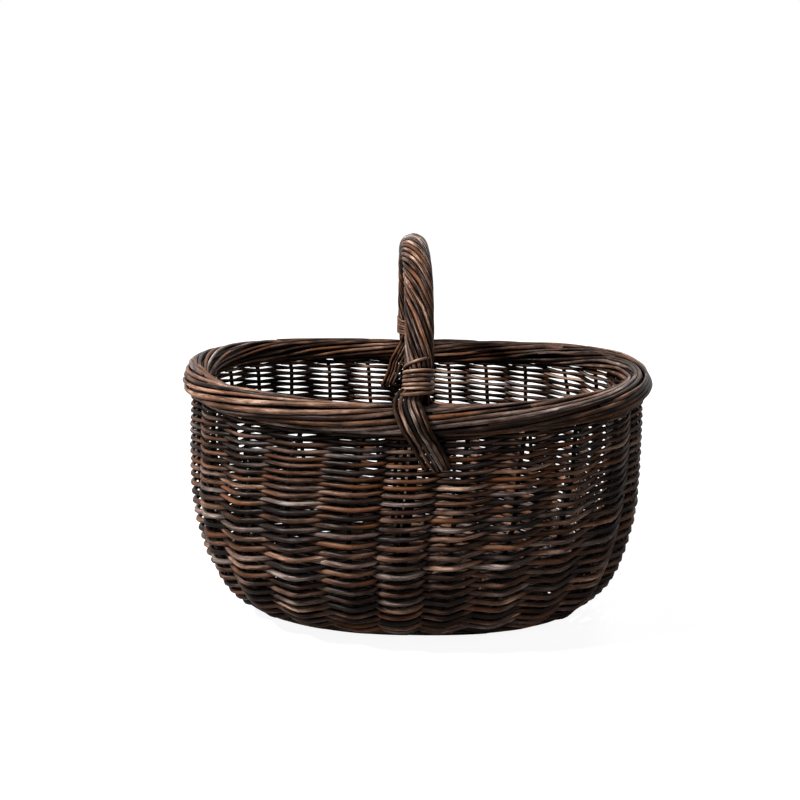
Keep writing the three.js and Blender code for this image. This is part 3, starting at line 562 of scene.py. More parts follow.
def wall_point(place, rise, out):
    """Point in front of the stakes' line or behind it, square to the wall, with the stakes' lean"""
    place, rise, out = np.broadcast_arrays(np.asarray(place, float), rise, out)
    place = standing(place, rise)
    around = wall_surface(place + PLACE_STEP, rise) - wall_surface(place - PLACE_STEP, rise)
    above = wall_surface(place, np.minimum(rise + RISE_STEP, wall_length))
    below = wall_surface(place, np.maximum(rise - RISE_STEP, 0))
    return wall_surface(place, rise) + unit(np.cross(around, above - below)) * out[..., None]


def roll_point(place, out, lift):
    """Point by its distance outwards and upwards from the middle of the border's roll"""
    place, out, lift = np.broadcast_arrays(np.asarray(place, float), out, lift)
    place = place + LEAN_AT_TOP
    level = wall_surface(place, wall_length)
    around = wall_surface(place + PLACE_STEP, wall_length) - wall_surface(place - PLACE_STEP, wall_length)
    outwards = unit(np.cross(around, up))
    height = BORDER_HEIGHT + BORDER_LIFT * (level[..., 0] / RIM_HALF_LENGTH) ** 2
    middle = np.concatenate([level[..., :2], height[..., None]], -1)
    return middle + outwards * (BORDER_OVERHANG + out)[..., None] + up * lift[..., None]


STAKE_RADIUS = 0.0027
STAKE_RADIUS_UP = 0.0021
STAKE_POINT = 0.0012
FOOT_LENGTH = 0.028
FOOT_BESIDE = 0.16
CLIMB_STEPS = 40
CLIMB_LEAVES = 0.006
BEND_PLACES = np.array([0.03, 0.14])
BEND_OUT = np.array([-0.0012, 0.001])
BEND_LIFT = np.array([-0.0135, -0.0124])
BEND_RADII = [0.0025, 0.0027]
BORDER_ROD_START = 0.0025
BORDER_ROD_END = 0.0018
BORDER_ROD_SIZES = (0.86, 1.1)
BORDER_THINS = 0.8
ROLL_RADIUS = 0.0112
ROLL_START_SPACES = 0.38
ROLL_START_ANGLE = -74
ROLL_ANGLE_PER_SPACE = 27
ROLL_SPACES = 13.2
ROLL_ENDS = (-0.8, 0.4)
ROLL_STEPS = 100
ROLL_DRIFT = 3.2
ROLL_WAVER = (11, 4.0)
ROLL_PROUD = 0.0008
ROLL_PROUD_SPOTS = 10
ROLL_PROUD_LIMITS = (-0.0024, 0.0002)
ROLL_UNEVEN = (12, 0.05)
BORDER_TONES = (0.1, 1)
# The stakes' wall part is lighter and greyer than their border part: partly their own grey bark, partly
# painted light that lifts them out of the shade between the weavers
WALL_TONE = 0.55
WALL_TONE_SHARE = 0.25
WALL_WARMTH_SHARE = 0.2
TONE_WAVER = (14, 0.08)


def stake_rod(stake):
    """One stake, from its sharpened foot in the base, up the wall and along the border"""
    foot_share = FOOT_LENGTH / np.linalg.norm(base_point(stake, 0, 0) - base_point(stake, 1, 0))
    foot = base_point(stake + FOOT_BESIDE, foot_share, 0)
    climb = np.linspace(0.0, wall_length - CLIMB_LEAVES, CLIMB_STEPS)
    wall = wall_point(stake, climb, 0)
    spaces = np.linspace(ROLL_START_SPACES, ROLL_SPACES + chance.uniform(*ROLL_ENDS), ROLL_STEPS)
    share = (spaces - ROLL_START_SPACES) / (ROLL_SPACES - ROLL_START_SPACES)
    angle = ROLL_START_ANGLE + ROLL_ANGLE_PER_SPACE * (spaces - ROLL_START_SPACES)
    drift = chance.normal(0, ROLL_DRIFT) * np.clip(2 * share, 0, 1)
    angle = np.radians(angle + wander(ROLL_STEPS, *ROLL_WAVER) + drift)
    proud = chance.normal(0, ROLL_PROUD) * np.clip(3 * share, 0, 1)
    proud = proud + wander(ROLL_STEPS, ROLL_PROUD_SPOTS, ROLL_PROUD)
    radius = ROLL_RADIUS + np.clip(proud, *ROLL_PROUD_LIMITS)
    rolled = roll_point(stake + spaces, radius * np.cos(angle), radius * np.sin(angle))
    bend = roll_point(stake + BEND_PLACES, BEND_OUT, BEND_LIFT)
    path = np.vstack([foot[None], wall, bend, rolled])
    size = chance.uniform(*BORDER_ROD_SIZES)
    thin = BORDER_ROD_START + (BORDER_ROD_END - BORDER_ROD_START) * np.clip(share, 0, 1) ** BORDER_THINS
    thin = thin * size * (1 + wander(ROLL_STEPS, *ROLL_UNEVEN))
    in_wall = np.linspace(STAKE_RADIUS, STAKE_RADIUS_UP, CLIMB_STEPS)
    radii = np.concatenate([[STAKE_POINT], in_wall, BEND_RADII, thin])
    tone, warmth = chance.uniform(*BORDER_TONES, 2)
    below = len(path) - ROLL_STEPS
    below_tone = WALL_TONE + WALL_TONE_SHARE * tone
    tones = np.concatenate([np.full(below, below_tone), np.full(ROLL_STEPS, tone)])
    warmths = np.concatenate([np.full(below, WALL_WARMTH_SHARE * warmth), np.full(ROLL_STEPS, warmth)])
    return cut_rod(path, radii, tones + wander(len(path), *TONE_WAVER), warmths)


CORE_RODS = 7
CORE_STEPS = 220
CORE_OVERLAP = 0.6
CORE_SHIFT = 5.2
CORE_ANGLE_PER_SPACE = 14
CORE_LINE = 0.0060
CORE_WAVER = (40, 0.0003)
CORE_ROD_RADIUS = 0.0034


def core_rods():
    """Thin rods that lie inside the roll and round it out"""
    rods = []
    for i in range(CORE_RODS):
        place = np.linspace(0, STAKE_COUNT + CORE_OVERLAP, CORE_STEPS) + i * CORE_SHIFT
        angle = math.radians(360 / CORE_RODS) * i + np.radians(CORE_ANGLE_PER_SPACE * place)
        line = CORE_LINE + wander(CORE_STEPS, *CORE_WAVER)
        path = roll_point(place, line * np.cos(angle), line * np.sin(angle))
        # Tone 0, the darkest, is painted shade: these rods lie deep inside the roll
        rods.append(cut_rod(path, CORE_ROD_RADIUS, 0))
    return rods


TIP_RODS = 30
TIP_STEPS = 34
TIP_STARTS = (0.1, 0.9)
TIP_SPACES = (1.8, 3.2)
TIP_ANGLES = (-48, 120)
TIP_LAY = 0.8
TIP_ANGLE_WAVER = (3, 2)
TIP_RISES_OVER = 0.35
TIP_LINE = 0.0094
TIP_LIFT = 0.0031
TIP_WAVER = (4, 0.0002)
TIP_RADIUS = 0.0021
TIP_THINS_BY = 0.0013
TIP_THINS_LATE = 1.5


def tip_rods():
    """Thin ends of rods that run out on the roll, each lifting from between two others"""
    rods = []
    share = np.linspace(0, 1, TIP_STEPS)
    lift = np.clip(share / TIP_RISES_OVER, 0, 1)
    lift = lift * lift * (3 - 2 * lift)
    for i in range(TIP_RODS):
        first = STAKE_COUNT * (i + chance.uniform(*TIP_STARTS)) / TIP_RODS
        place = first + np.linspace(0, chance.uniform(*TIP_SPACES), TIP_STEPS)
        angle = chance.uniform(*TIP_ANGLES) + ROLL_ANGLE_PER_SPACE * TIP_LAY * (place - first)
        angle = np.radians(angle + wander(TIP_STEPS, *TIP_ANGLE_WAVER))
        line = TIP_LINE + TIP_LIFT * lift + wander(TIP_STEPS, *TIP_WAVER)
        path = roll_point(place, line * np.cos(angle), line * np.sin(angle))
        rods.append(cut_rod(path, TIP_RADIUS - TIP_THINS_BY * share**TIP_THINS_LATE))
    return rods


border_willow = willow("stained border willow", shade=0.01, warmth=0.8, gloss=0.06)
stake_rods = [stake_rod(stake) for stake in range(STAKE_COUNT)]
stakes = lay_rods("stakes_and_border", stake_rods + tip_rods(), sides=10)
stake_nodes = [f"stake_{i:02d}" for i in range(1, STAKE_COUNT + 1)]
finish_piece(stakes, border_willow, "stakes_and_border", *stake_nodes)
core = lay_rods("border_core", core_rods(), sides=6)
# The core's willow is darkened further as painted shade, since it lies inside the roll
finish_piece(core, willow("core willow in painted shade", shade=-0.2, warmth=0.2), "stakes_and_border")

# Upsett: three rods at a time, waled round the foot of the wall for five rounds. Each passes in
# front of two stakes and behind one, over the other two, and so locks the stakes upright.

WALE_RODS = 3
WALE_ROUNDS = 5
WALE_START = 0.0004
WALE_ROW = 0.0040
WALE_RADIUS = 0.0024
WALE_SWING = 0.0036
WALE_STEPS = 7
WALE_OVERLAP = 0.3
WALE_OUT = (-1, 1, 1.06)
WALE_TUCKS = (0, 0.5, -0.5)
WALE_WAVER = 0.0002
WALE_SIZES = (0.93, 1.1)
WALE_TONES = (0, 0.55)


def ease_between(position, marks):
    """Value at a position between evenly spaced marks that repeat, eased at each of them"""
    low = np.floor(position).astype(int)
    part = position - low
    part = part * part * (3 - 2 * part)
    marks = np.asarray(marks, float)
    return marks[low % len(marks)] * (1 - part) + marks[(low + 1) % len(marks)] * part


def wale_rods():
    """The upsett's rods, each laid in for one round"""
    rods = []
    count = (STAKE_COUNT + 1) * WALE_STEPS
    for first in range(WALE_RODS):
        for turn in range(WALE_ROUNDS):
            start = turn * STAKE_COUNT - WALE_OVERLAP
            stop = (turn + 1) * STAKE_COUNT + WALE_OVERLAP
            spaces = np.linspace(start, stop, count)
            place = spaces + first
            out = WALE_SWING * ease_between(spaces, WALE_OUT)
            tuck = ease_between(spaces, WALE_TUCKS) * WALE_ROW
            rise = WALE_START + 2 * WALE_ROW * place / STAKE_COUNT + tuck
            rise = np.clip(rise + wander(count, STAKE_COUNT, WALE_WAVER), 0, None)
            radius = WALE_RADIUS * chance.uniform(*WALE_SIZES)
            rods.append(cut_rod(wall_point(place, rise, out), radius, chance.uniform(*WALE_TONES)))
    return rods


upsett = lay_rods("upsett", wale_rods())
finish_piece(upsett, weave_willow, "weave", "wall_course_01")

# Wall weave: French randing. A rod starts at every stake and each in turn goes in front of one
# and behind the next, so all of them climb the wall side by side; thick butts below, tips above.

ROW_START = 0.0402
ROW_END = 0.2560
PITCH_RISES = (0.10, 0.15, 0.17, 0.185, 0.20, 0.25)
ROW_PITCHES = (0.0049, 0.0046, 0.00425, 0.0037, 0.00335, 0.0031)
ROD_RISES = (0.10, 0.18, 0.22)
ROD_PER_ROW = (0.57, 0.575, 0.58)
SWING_OF_STAKE = 0.0038
SWING_SHIFT = 0.0012
SWING_CORNER = 0.955
SWING_RISES = (0.04, 0.085)
SWING_SHARES = (0.55, 1)
ROW_STEPS = 8
WEAVER_MOST = 0.0029
WEAVER_SIZES = (0.92, 1.07)
WEAVER_TONES = (0, 0.95)
WEAVER_TONE_WAVER = 0.1
WEAVER_OUT_WAVER = 0.0002
WEAVER_RISE_WAVER = 0.00028
WEAVER_OVERLAP = 0.3
RISE_LATE = -0.15
RISE_EASE = 0.6
WIDE_REACH = 0.6
WIDE_POWER = 0.35
JOIN_FROM = 10
JOIN_LEAVES = 4
JOIN_AFTER = 0.35
JOIN_BEFORE = 0.4
JOIN_TUCK_ROWS = 0.5
JOIN_TUCK = 1.6
COURSES_PER_PIECE = 4

row_marks = [ROW_START]
while row_marks[-1] < ROW_END:
    row_marks.append(row_marks[-1] + np.interp(row_marks[-1], PITCH_RISES, ROW_PITCHES))
row_marks = np.array(row_marks)
row_count = len(row_marks) - 2


def row_rise(row):
    """Height of a weaver after a number of rows, level past a stake and steep between two"""
    late = row - RISE_LATE
    eased = late - RISE_EASE * np.sin(2 * math.pi * late) / (2 * math.pi) + RISE_LATE
    return np.interp(eased, np.arange(len(row_marks)), row_marks)


def weaver_rods(weaver):
    """The two rods, one after the other, that make one weaver's way up the wall"""
    join = int(chance.integers(JOIN_FROM, row_count // 2 - JOIN_LEAVES)) * 2
    lower = (-WEAVER_OVERLAP, join + JOIN_AFTER)
    upper = (join - JOIN_BEFORE, row_count + WEAVER_OVERLAP)
    rods = []
    for first, last in (lower, upper):
        count = int((last - first) * ROW_STEPS)
        row = np.linspace(first, last, count)
        place = weaver + row
        rise = row_rise(row)
        thick = np.interp(rise, PITCH_RISES, ROW_PITCHES) * np.interp(rise, ROD_RISES, ROD_PER_ROW)
        radii = np.minimum(thick, WEAVER_MOST) * chance.uniform(*WEAVER_SIZES)
        gaps = [np.abs((place - stake + HALF_COUNT) % STAKE_COUNT - HALF_COUNT) for stake in FOOT_STAKES]
        wide = np.exp(-((np.minimum(*gaps) / WIDE_REACH) ** 2))
        turn = np.cos(math.pi * row)
        bent = np.arcsin(SWING_CORNER * turn) / math.asin(SWING_CORNER)
        swing = -(bent + (signed_power(turn, WIDE_POWER) - bent) * wide) * (SWING_OF_STAKE + radii)
        swing = swing * np.interp(rise, SWING_RISES, SWING_SHARES)
        tucked = np.clip(1 - (row - first) / JOIN_TUCK_ROWS, 0, 1) if first > 0 else 0
        out = SWING_SHIFT + swing - tucked * radii * JOIN_TUCK
        out = out + wander(count, int(last - first) * 2, WEAVER_OUT_WAVER)
        rise = rise + wander(count, int(last - first), WEAVER_RISE_WAVER)
        tone = chance.uniform(*WEAVER_TONES) + wander(count, int(last - first) // 2, WEAVER_TONE_WAVER)
        rods.append(cut_rod(wall_point(place, np.minimum(rise, wall_length), out), radii, tone))
    return rods


for part, name in enumerate(("randing_first_rods", "randing_second_rods")):
    rods = [rod for weaver in range(part, STAKE_COUNT, 2) for rod in weaver_rods(weaver)]
    randing = lay_rods(name, rods)
    first_course = 2 + part * COURSES_PER_PIECE
    courses = [f"wall_course_{first_course + i:02d}" for i in range(COURSES_PER_PIECE)]
    finish_piece(randing, weave_willow, "weave", *courses)

# Handle bow: one thick rod bent into an arch, its ends cut to points and driven down through the
# border beside a stake at the middle of the front and of the back.

BESIDE_STAKE = (0.0070, 0.0112)
CHORD_REACH = 0.3
BOW_STEPS = 800
HANDLE_TOP = 0.3632
LINE_AT_FOOT = 0.0104
LINE_AT_TOP = 0.0116
LINE_STARTS = 0.017
BOUND_LINE = 0.0090
BOUND_UP_TO = 0.046
BOUND_EASE = 0.006
STRAND_RADIUS = 0.0019
SIDE_BEND = 0.0022
ANGLE_STEP = 0.01
ARCH_STARTS = 0.016
ARCH_STEPS = 90
ARCH_SWELL = 0.5
ARCH_END_RADIUS = 0.0045
STRANDS_REST_AT = 0.93
TANG_INSET = 0.0018
TANG_LENGTH = 0.085
TANG_RADIUS = 0.0026
TANG_POINT = 0.0012
TANG_LEAVES = 0.002
BOW_TONE = 0.1


def bow_foot(foot):
    """Point beside the stake that carries a foot of the bow, on the chord past it"""
    places = np.array([FOOT_STAKES[foot] - CHORD_REACH, FOOT_STAKES[foot] + CHORD_REACH])
    before, after = roll_point(places - LEAN_AT_TOP, -TANG_INSET, 0.0)
    return before + (after - before) * (0.5 + BESIDE_STAKE[foot] / (2 * CHORD_REACH * stake_space))


bow_feet = [bow_foot(foot) for foot in (0, 1)]
bow_middle = (bow_feet[0] + bow_feet[1]) / 2
bow_reach = bow_feet[0] - bow_middle
bow_side = unit(-np.cross(bow_reach, up))
bow_angles = np.linspace(0, math.pi, BOW_STEPS + 1)


def arch_point(angle):
    """Point on the bow's middle line, by angle from its front foot"""
    angle = np.asarray(angle, float)[..., None]
    bend = bow_side * SIDE_BEND * np.clip(np.sin(2 * angle), 0, 1)
    return bow_middle + bow_reach * np.cos(angle) + up * (HANDLE_TOP - bow_middle[2]) * np.sin(angle) + bend


bow_run = np.concatenate([[0], np.cumsum(np.linalg.norm(np.diff(arch_point(bow_angles), axis=0), axis=1))])
bow_length = bow_run[-1]


def bow_point(length, out, side):
    """Point by length along the bow from its front foot, outwards and towards +X from its middle"""
    angle = np.interp(length, bow_run, bow_angles)
    along = unit(arch_point(angle + ANGLE_STEP) - arch_point(angle - ANGLE_STEP))
    outwards = unit(np.cross(bow_side, along))
    return arch_point(angle) + outwards * np.asarray(out)[..., None] + bow_side * np.asarray(side)[..., None]


def strand_line(length):
    """How far the strands' middle lines lie from the bow's, drawn in where the lashings bind them"""
    arc = math.pi * (np.asarray(length, float) - LINE_STARTS) / (bow_length - 2 * LINE_STARTS)
    free = LINE_AT_FOOT + (LINE_AT_TOP - LINE_AT_FOOT) * np.sin(np.clip(arc, 0, math.pi))
    foot = np.minimum(length, bow_length - length)
    bound = np.clip((BOUND_UP_TO - foot) / BOUND_EASE, 0, 1)
    return free + (BOUND_LINE - free) * bound * bound * (3 - 2 * bound)


def tang_points(foot):
    """The pointed end of the bow in the wall, from its point up"""
    low = wall_length - (TANG_LENGTH - BORDER_RADIUS)
    rise = np.array([low, (low + wall_length) / 2, wall_length - TANG_LEAVES])
    return wall_point(FOOT_STAKES[foot] - LEAN_AT_TOP + BESIDE_STAKE[foot] / stake_space, rise, 0)


arch = np.linspace(ARCH_STARTS, bow_length - ARCH_STARTS, ARCH_STEPS)
from_end = np.minimum(arch - ARCH_STARTS, bow_length - ARCH_STARTS - arch)
arch_radii = from_end * ARCH_SWELL + ARCH_END_RADIUS
arch_radii = np.minimum(arch_radii, strand_line(arch) - STRANDS_REST_AT * STRAND_RADIUS)
bow_path = np.vstack([tang_points(0), bow_point(arch, 0 * arch, 0 * arch), tang_points(1)[::-1]])
tang_radii = [TANG_POINT, TANG_RADIUS, TANG_RADIUS]
bow_rod = cut_rod(bow_path, np.concatenate([tang_radii, arch_radii, tang_radii[::-1]]), BOW_TONE)
handle_willow = willow("stained handle willow", shade=-0.14, warmth=0.7, streaks=0.56, gloss=0.03)
bow = lay_rods("handle_bow_rod", [bow_rod], sides=12)
finish_piece(bow, handle_willow, "handle_bow", "handle_bow")

# Handle roping: sixteen thin rods wound side by side round the bow. At each foot six of them come
# down over the border outside and four inside; the rest are pushed down into the border.

STRAND_COUNT = 16
STRAND_THINS_TO = 0.00178
STRAND_SIZES = (0.93, 1.06)
STRAND_TONES = (0.15, 0.9)
STRAND_TONE_WAVER = (12, 0.1)
STRAND_STEPS = 170
STRAND_STEP = 360 / STRAND_COUNT
STRAND_ANGLE_WAVER = (16, 1.6)
STRAND_LINE_WAVER = (18, 0.00022)
STRAND_END = 0.004
STRAND_END_LINE = 0.0076
FIRST_ANGLE = -85
LAY_SHARES = (0, 0.8, 1)
LAYS = (33, 39, 31)
TAIL_LEAVES = 0.0254
TAIL_LINE_STEPS = 40
TAIL_STEPS = 44
TAIL_SHARES = (0, 0.12, 0.22, 1)

# Each tail has the angles round the bow of the strands that go into it, and the pitch between its
# strands. Its middle line is given up the bow, out and beside; then by angle round the border's
# roll, distance from its middle and place beside; then by distance down the wall, out and beside.
OUTSIDE_TAIL = {
    "angles": (-96, 40),
    "pitch": (0.0028, 0.0040, 0.0041, 0.0037),
    "bow": [(0.0222, 0.0094, -0.0086), (0.0196, 0.0102, -0.0096), (0.0168, 0.0106, -0.0100)],
    "roll": [(52, 0.0167, -0.0016), (17, 0.0166, 0.0020), (-12, 0.0166, 0.0059), (-42, 0.0166, 0.0092)],
    "wall": [
        (0.007, 0.0092, 0.0143),
        (0.015, 0.0084, 0.0193),
        (0.023, 0.0074, 0.0250),
        (0.031, 0.0036, 0.0300),
    ],
}
INSIDE_TAIL = {
    "angles": (107, 197),
    "pitch": (0.0028, 0.0034, 0.0036, 0.0034),
    "bow": [(0.0255, -0.0092, 0.0020), (0.0200, -0.0104, 0.0032)],
    "roll": [(125, 0.0164, 0.0140), (152, 0.0162, 0.0165), (180, 0.0160, 0.0200), (212, 0.0158, 0.0235)],
    "wall": [(0.008, -0.0090, 0.0270), (0.020, -0.0084, 0.0315), (0.029, -0.0045, 0.0350)],
}

strand_run = np.linspace(LINE_STARTS, bow_length - LINE_STARTS, STRAND_STEPS)
lay_share = np.sin(math.pi * (strand_run - LINE_STARTS) / (bow_length - 2 * LINE_STARTS))
lay = np.interp(lay_share, LAY_SHARES, LAYS)
turned = np.degrees(np.concatenate([[0], np.cumsum((lay[1:] + lay[:-1]) / 2 * np.diff(strand_run))]))
whole = round((turned[-1] - 2 * FIRST_ANGLE) / STRAND_STEP) * STRAND_STEP + 2 * FIRST_ANGLE
turned *= whole / turned[-1]


def foot_point(foot, length, out, beside):
    """Point of the bow by length up from one of its feet, outwards, and along the border"""
    if foot == 0:
        return bow_point(length, out, beside)
    return bow_point(bow_length - length, out, -beside)


def tail_points(foot, tail, across, own_start):
    """The end of one strand from the bow over the border and down the wall, by its place in the tail"""
    beside_stake = FOOT_STAKES[foot] - LEAN_AT_TOP
    middle = [foot_point(foot, *step) for step in tail["bow"]]
    for angle, radius, beside in tail["roll"]:
        out = radius * math.cos(math.radians(angle))
        lift = radius * math.sin(math.radians(angle))
        middle.append(roll_point(beside_stake + beside / stake_space, out, lift))
    for drop, out, beside in tail["wall"]:
        middle.append(wall_point(beside_stake + beside / stake_space, wall_length - drop, out))
    middle = along_curve(middle, TAIL_LINE_STEPS)
    along = unit(np.gradient(middle, axis=0))
    outwards = roll_point(FOOT_STAKES[foot], 1.0, 0.0) - roll_point(FOOT_STAKES[foot], 0.0, 0.0)
    sideways = unit(np.cross(up, outwards))
    flat = unit(sideways - along * (along @ sideways)[:, None])
    pitch = np.interp(np.linspace(0, 1, TAIL_LINE_STEPS), TAIL_SHARES, tail["pitch"])
    path = middle + flat * (across * pitch)[:, None]
    return along_curve(np.vstack([own_start, path[1:]]), TAIL_STEPS)


def strand_end(foot, angle, run):
    """A strand's end at one foot of the bow, and which points of its way round the bow are left"""
    beyond_tail = np.minimum(strand_run, bow_length - strand_run) >= TAIL_LEAVES
    at = np.flatnonzero(beyond_tail)[-foot]
    side = (1, -1)[foot]
    here = side * math.degrees(angle[at])
    outside = (here + 180) % 360 - 180
    inside = here % 360
    if OUTSIDE_TAIL["angles"][0] < outside < OUTSIDE_TAIL["angles"][1]:
        across = (outside - sum(OUTSIDE_TAIL["angles"]) / 2) / STRAND_STEP
        return tail_points(foot, OUTSIDE_TAIL, across, run[at])[1:], beyond_tail
    if INSIDE_TAIL["angles"][0] < inside < INSIDE_TAIL["angles"][1]:
        across = (sum(INSIDE_TAIL["angles"]) / 2 - inside) / STRAND_STEP
        return tail_points(foot, INSIDE_TAIL, across, run[at])[1:], beyond_tail
    last = side * angle[[-foot]]
    out = STRAND_END_LINE * np.cos(last)
    beside = STRAND_END_LINE * np.sin(last)
    return foot_point(foot, np.array([STRAND_END]), out, beside), np.ones(len(run), bool)


def strand_rod(strand):
    """One strand, from its end at the front foot, round the bow, to its end at the back foot"""
    waver = wander(STRAND_STEPS, *STRAND_ANGLE_WAVER)
    angle = np.radians(FIRST_ANGLE + STRAND_STEP * strand + waver - turned)
    radius = strand_line(strand_run) + wander(STRAND_STEPS, *STRAND_LINE_WAVER)
    run = bow_point(strand_run, radius * np.cos(angle), radius * np.sin(angle))
    half = STRAND_STEPS // 2
    front_end, kept_front = strand_end(0, angle, run)
    back_end, kept_back = strand_end(1, angle, run)
    front_run = run[:half][kept_front[:half]]
    back_run = run[half:][kept_back[half:]]
    path = np.vstack([front_end[::-1], front_run, back_run, back_end])
    share = np.linspace(0, 1, len(path))
    radii = STRAND_RADIUS + (STRAND_THINS_TO - STRAND_RADIUS) * share
    radii = radii * chance.uniform(*STRAND_SIZES)
    tone = chance.uniform(*STRAND_TONES) + wander(len(path), *STRAND_TONE_WAVER)
    return cut_rod(path, radii, tone)


strands = lay_rods("handle_roping", [strand_rod(strand) for strand in range(STRAND_COUNT)])
finish_piece(strands, handle_willow, "handle_rods", *[f"handle_bunch_{i}" for i in range(1, 6)])

# Roping butts: the thick ends of a few handle rods, pushed down into the wall beside the middle
# stake of the front and of the back, and held there by the weave.

BUTTS = [
    # place beside the stake at the border, the same lower down, and the rise of the end
    (-0.31, -0.24, 0.172),
    (-0.155, -0.12, 0.128),
    (0.11, 0.08, 0.132),
]
BUTT_RADIUS = 0.0019
BUTT_STEPS = 16
BUTT_LEAVES = 0.001
BUTT_OUT = 0.0016
BUTT_SIDE_WAVER = (4, 0.008)
BUTT_OUT_WAVER = (4, 0.0003)
# The butts are lighter and greyer too: partly their own bark, partly painted light that lifts them out of
# the shade between the weavers
BUTT_TONES = (0.5, 0.9)
BUTT_WARMTH = 0.3

butt_rods = []
for stake in FOOT_STAKES:
    for beside, low_beside, low in BUTTS:
        rise = np.linspace(low, wall_length - BUTT_LEAVES, BUTT_STEPS)
        place = stake + np.linspace(low_beside, beside, BUTT_STEPS)
        place = place + wander(BUTT_STEPS, *BUTT_SIDE_WAVER)
        path = wall_point(place, rise, BUTT_OUT + wander(BUTT_STEPS, *BUTT_OUT_WAVER))
        butt_rods.append(cut_rod(path, BUTT_RADIUS, chance.uniform(*BUTT_TONES), BUTT_WARMTH))
butts = lay_rods("handle_rod_butts", butt_rods)
finish_piece(butts, handle_willow, "handle_rods")

# Lashings: one thin rod bound tightly round the roped bow just above the border, six turns at each
# foot, its upper end slanted up across the roping and tucked under it.

WRAP_STARTS = -0.34
WRAP_TURNS = 5.74
WRAP_PITCH = 0.0034
WRAP_FRONT = 0.0234
WRAP_RADIUS = 0.00165
WRAP_LINE = 0.0121
WRAP_BULGE = 0.0058
WRAP_BULGE_TURNS = 0.55
WRAP_BULGE_ANGLE = 0.2
WRAP_DROOP = 0.0010
WRAP_SLANT = 0.0085
WRAP_SLANT_TURN = 0.39
WRAP_SLANT_STEPS = 15
WRAP_SLANT_LIFT = 0.0008
WRAP_TUCK = 0.0010
WRAP_END_SIZE = 0.7
WRAP_STEPS = 22
WRAP_HEIGHT_WAVER = (24, 0.00012)
WRAP_LINE_WAVER = (20, 0.00018)
WRAP_UNEVEN = (14, 0.04)
WRAP_TONE = 0.6
WRAP_TONE_WAVER = (10, 0.1)
WRAP_WARMTH = 0.85


def lashing_rod(foot):
    """The binding rod of one foot: it starts low on the tail, winds up, and slants across"""
    count = int((WRAP_TURNS - WRAP_STARTS) * WRAP_STEPS)
    turns = np.linspace(WRAP_STARTS, WRAP_TURNS, count)
    height = WRAP_FRONT + WRAP_PITCH * turns + wander(count, *WRAP_HEIGHT_WAVER)
    angle = 2 * math.pi * turns
    line = WRAP_LINE + wander(count, *WRAP_LINE_WAVER)
    low = np.exp(-((np.clip(turns, 0, None) / WRAP_BULGE_TURNS) ** 2))
    aside = low * np.clip(-np.sin(angle - WRAP_BULGE_ANGLE), 0, 1)
    line = line + WRAP_BULGE * aside
    height = height - WRAP_DROOP * aside
    slant = np.linspace(0, 1, WRAP_SLANT_STEPS + 1)[1:]
    raised = WRAP_SLANT_LIFT * np.sin(math.pi * slant) - WRAP_TUCK * slant**3
    height = np.concatenate([height, height[-1] + WRAP_SLANT * slant])
    angle = np.concatenate([angle, angle[-1] + 2 * math.pi * WRAP_SLANT_TURN * slant])
    line = np.concatenate([line, line[-1] + raised])
    path = foot_point(foot, height, line * np.cos(angle), line * np.sin(angle))
    radii = WRAP_RADIUS * (1 + wander(len(path), *WRAP_UNEVEN))
    radii[-WRAP_SLANT_STEPS:] *= np.linspace(1, WRAP_END_SIZE, WRAP_SLANT_STEPS)
    return cut_rod(path, radii, WRAP_TONE + wander(len(path), *WRAP_TONE_WAVER), WRAP_WARMTH)


lashing_willow = willow("stained binding willow", shade=0.11, warmth=0.9, gloss=0.12)
for foot, side in enumerate(("front", "back")):
    lashing = lay_rods(f"handle_lashing_rod_{side}", [lashing_rod(foot)])
    finish_piece(lashing, lashing_willow, "handle_rods", f"handle_lashing_{side}")

# Floor, light and camera: a white floor under a plain white sky, and a strong lamp high at the
# left. Two weak ones fill in from the front and the back at the right, and the camera stands in
# front, a little above the rim.

FLOOR_SIZE = 7
FLOOR_GREY = (0.35, 0.35, 0.35, 1)
FLOOR_ROUGHNESS = 0.9
FLOOR_GLOW_NEAR = 0.92
FLOOR_GLOW_FAR = 1.0
FLOOR_NEAR = 0.4
FLOOR_FAR = 1.3
SKY_LIGHT = 0.03
SKY_SEEN = 1.0
WHITE = (1, 1, 1, 1)

bpy.ops.mesh.primitive_plane_add(size=FLOOR_SIZE)
floor = bpy.context.object
floor.name = "floor"
floor_paint = bpy.data.materials.new("white floor")
floor_paint.use_nodes = True
floor_tree = floor_paint.node_tree
floor_shader = floor_tree.nodes["Principled BSDF"]
floor_shader.inputs["Base Color"].default_value = FLOOR_GREY
floor_shader.inputs["Roughness"].default_value = FLOOR_ROUGHNESS
floor_shader.inputs["Specular IOR Level"].default_value = 0.0
floor_shader.inputs["Emission Color"].default_value = WHITE
seen = add_node(floor_tree, "ShaderNodeLightPath").outputs["Is Camera Ray"]
spot = add_node(floor_tree, "ShaderNodeTexCoord").outputs["Object"]
away = add_node(floor_tree, "ShaderNodeVectorMath", {0: spot}, operation="LENGTH").outputs["Value"]
paler = add_node(floor_tree, "ShaderNodeMapRange", {
    "Value": away,
    "From Min": FLOOR_NEAR,
    "From Max": FLOOR_FAR,
    "To Min": FLOOR_GLOW_NEAR,
    "To Max": FLOOR_GLOW_FAR,
}).outputs[0]
glow = add_node(floor_tree, "ShaderNodeMath", {0: seen, 1: paler}, operation="MULTIPLY")
floor_tree.links.new(glow.outputs[0], floor_shader.inputs["Emission Strength"])
floor.data.materials.append(floor_paint)

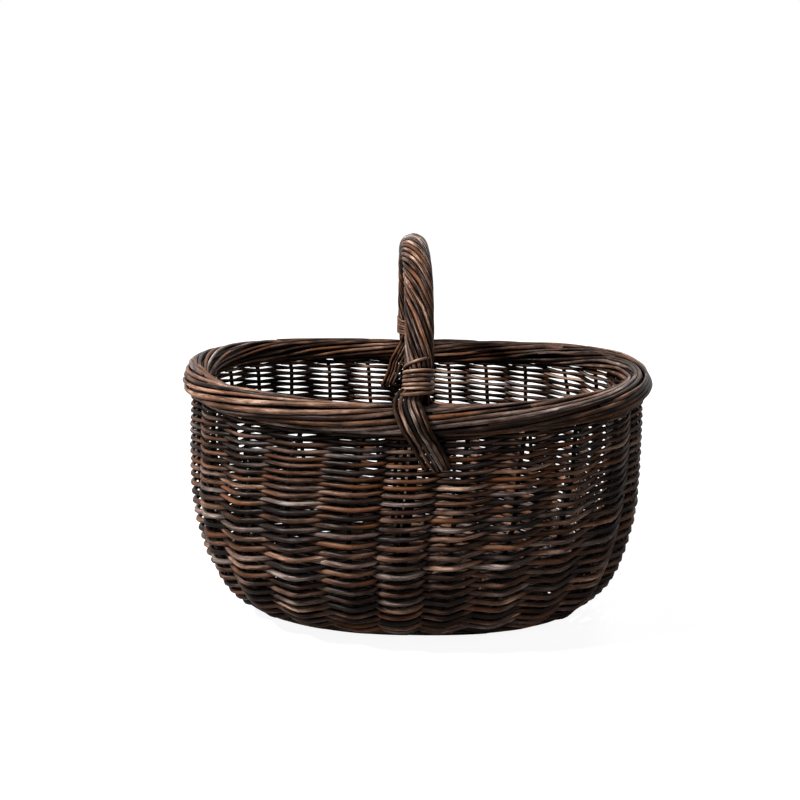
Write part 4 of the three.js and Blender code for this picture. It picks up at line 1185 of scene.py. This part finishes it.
world = bpy.data.worlds.new("white sky")
bpy.context.scene.world = world
world.use_nodes = True
sky_tree = world.node_tree
sky = sky_tree.nodes["Background"]
sky.inputs["Color"].default_value = WHITE
rays = add_node(sky_tree, "ShaderNodeLightPath").outputs
kinds = {0: rays["Is Camera Ray"], 1: rays["Is Glossy Ray"]}
shown = add_node(sky_tree, "ShaderNodeMath", kinds, operation="MAXIMUM").outputs[0]
level = add_node(sky_tree, "ShaderNodeMapRange", {"Value": shown, "To Min": SKY_LIGHT, "To Max": SKY_SEEN})
sky_tree.links.new(level.outputs[0], sky.inputs["Strength"])

LAMPS = [
    # name, place, size and power
    ("key_lamp", (-1.32, -0.62, 1.8), 0.3, 92),
    ("fill_lamp", (1.1, -1.3, 1.5), 0.8, 4),
    ("back_lamp", (0.9, 1.4, 1.6), 0.9, 10),
]
LAMP_TARGET = np.array([0, 0, 0.15])

for name, place, size, power in LAMPS:
    aim = np.array(place) - LAMP_TARGET
    turn_z = math.atan2(aim[0], -aim[1])
    tilt = math.atan2(math.hypot(aim[0], aim[1]), aim[2])
    bpy.ops.object.light_add(type="AREA", location=place, rotation=(tilt, 0, turn_z))
    lamp = bpy.context.object
    lamp.name = name
    lamp.data.size = size
    lamp.data.energy = power

CAMERA_AIM = np.array([-0.01608, 0, 0.21097])
CAMERA_DISTANCE = 0.9
CAMERA_RAISE = math.radians(14.66)
CAMERA_TURN = math.radians(0.49)
CAMERA_ROLL = math.radians(0.55)
CAMERA_SENSOR = 36
CAMERA_LENS = 40.1

level_back = np.array([math.sin(CAMERA_TURN), -math.cos(CAMERA_TURN), 0]) * math.cos(CAMERA_RAISE)
camera_place = CAMERA_AIM + CAMERA_DISTANCE * (level_back + up * math.sin(CAMERA_RAISE))
bpy.ops.object.camera_add(location=camera_place, rotation=(math.pi / 2 - CAMERA_RAISE, 0, CAMERA_TURN))
camera = bpy.context.object
camera.rotation_euler.rotate_axis("Z", CAMERA_ROLL)
camera.data.sensor_width = CAMERA_SENSOR
camera.data.lens = CAMERA_LENS
bpy.context.scene.camera = camera
bpy.context.scene.view_settings.view_transform = "Standard"
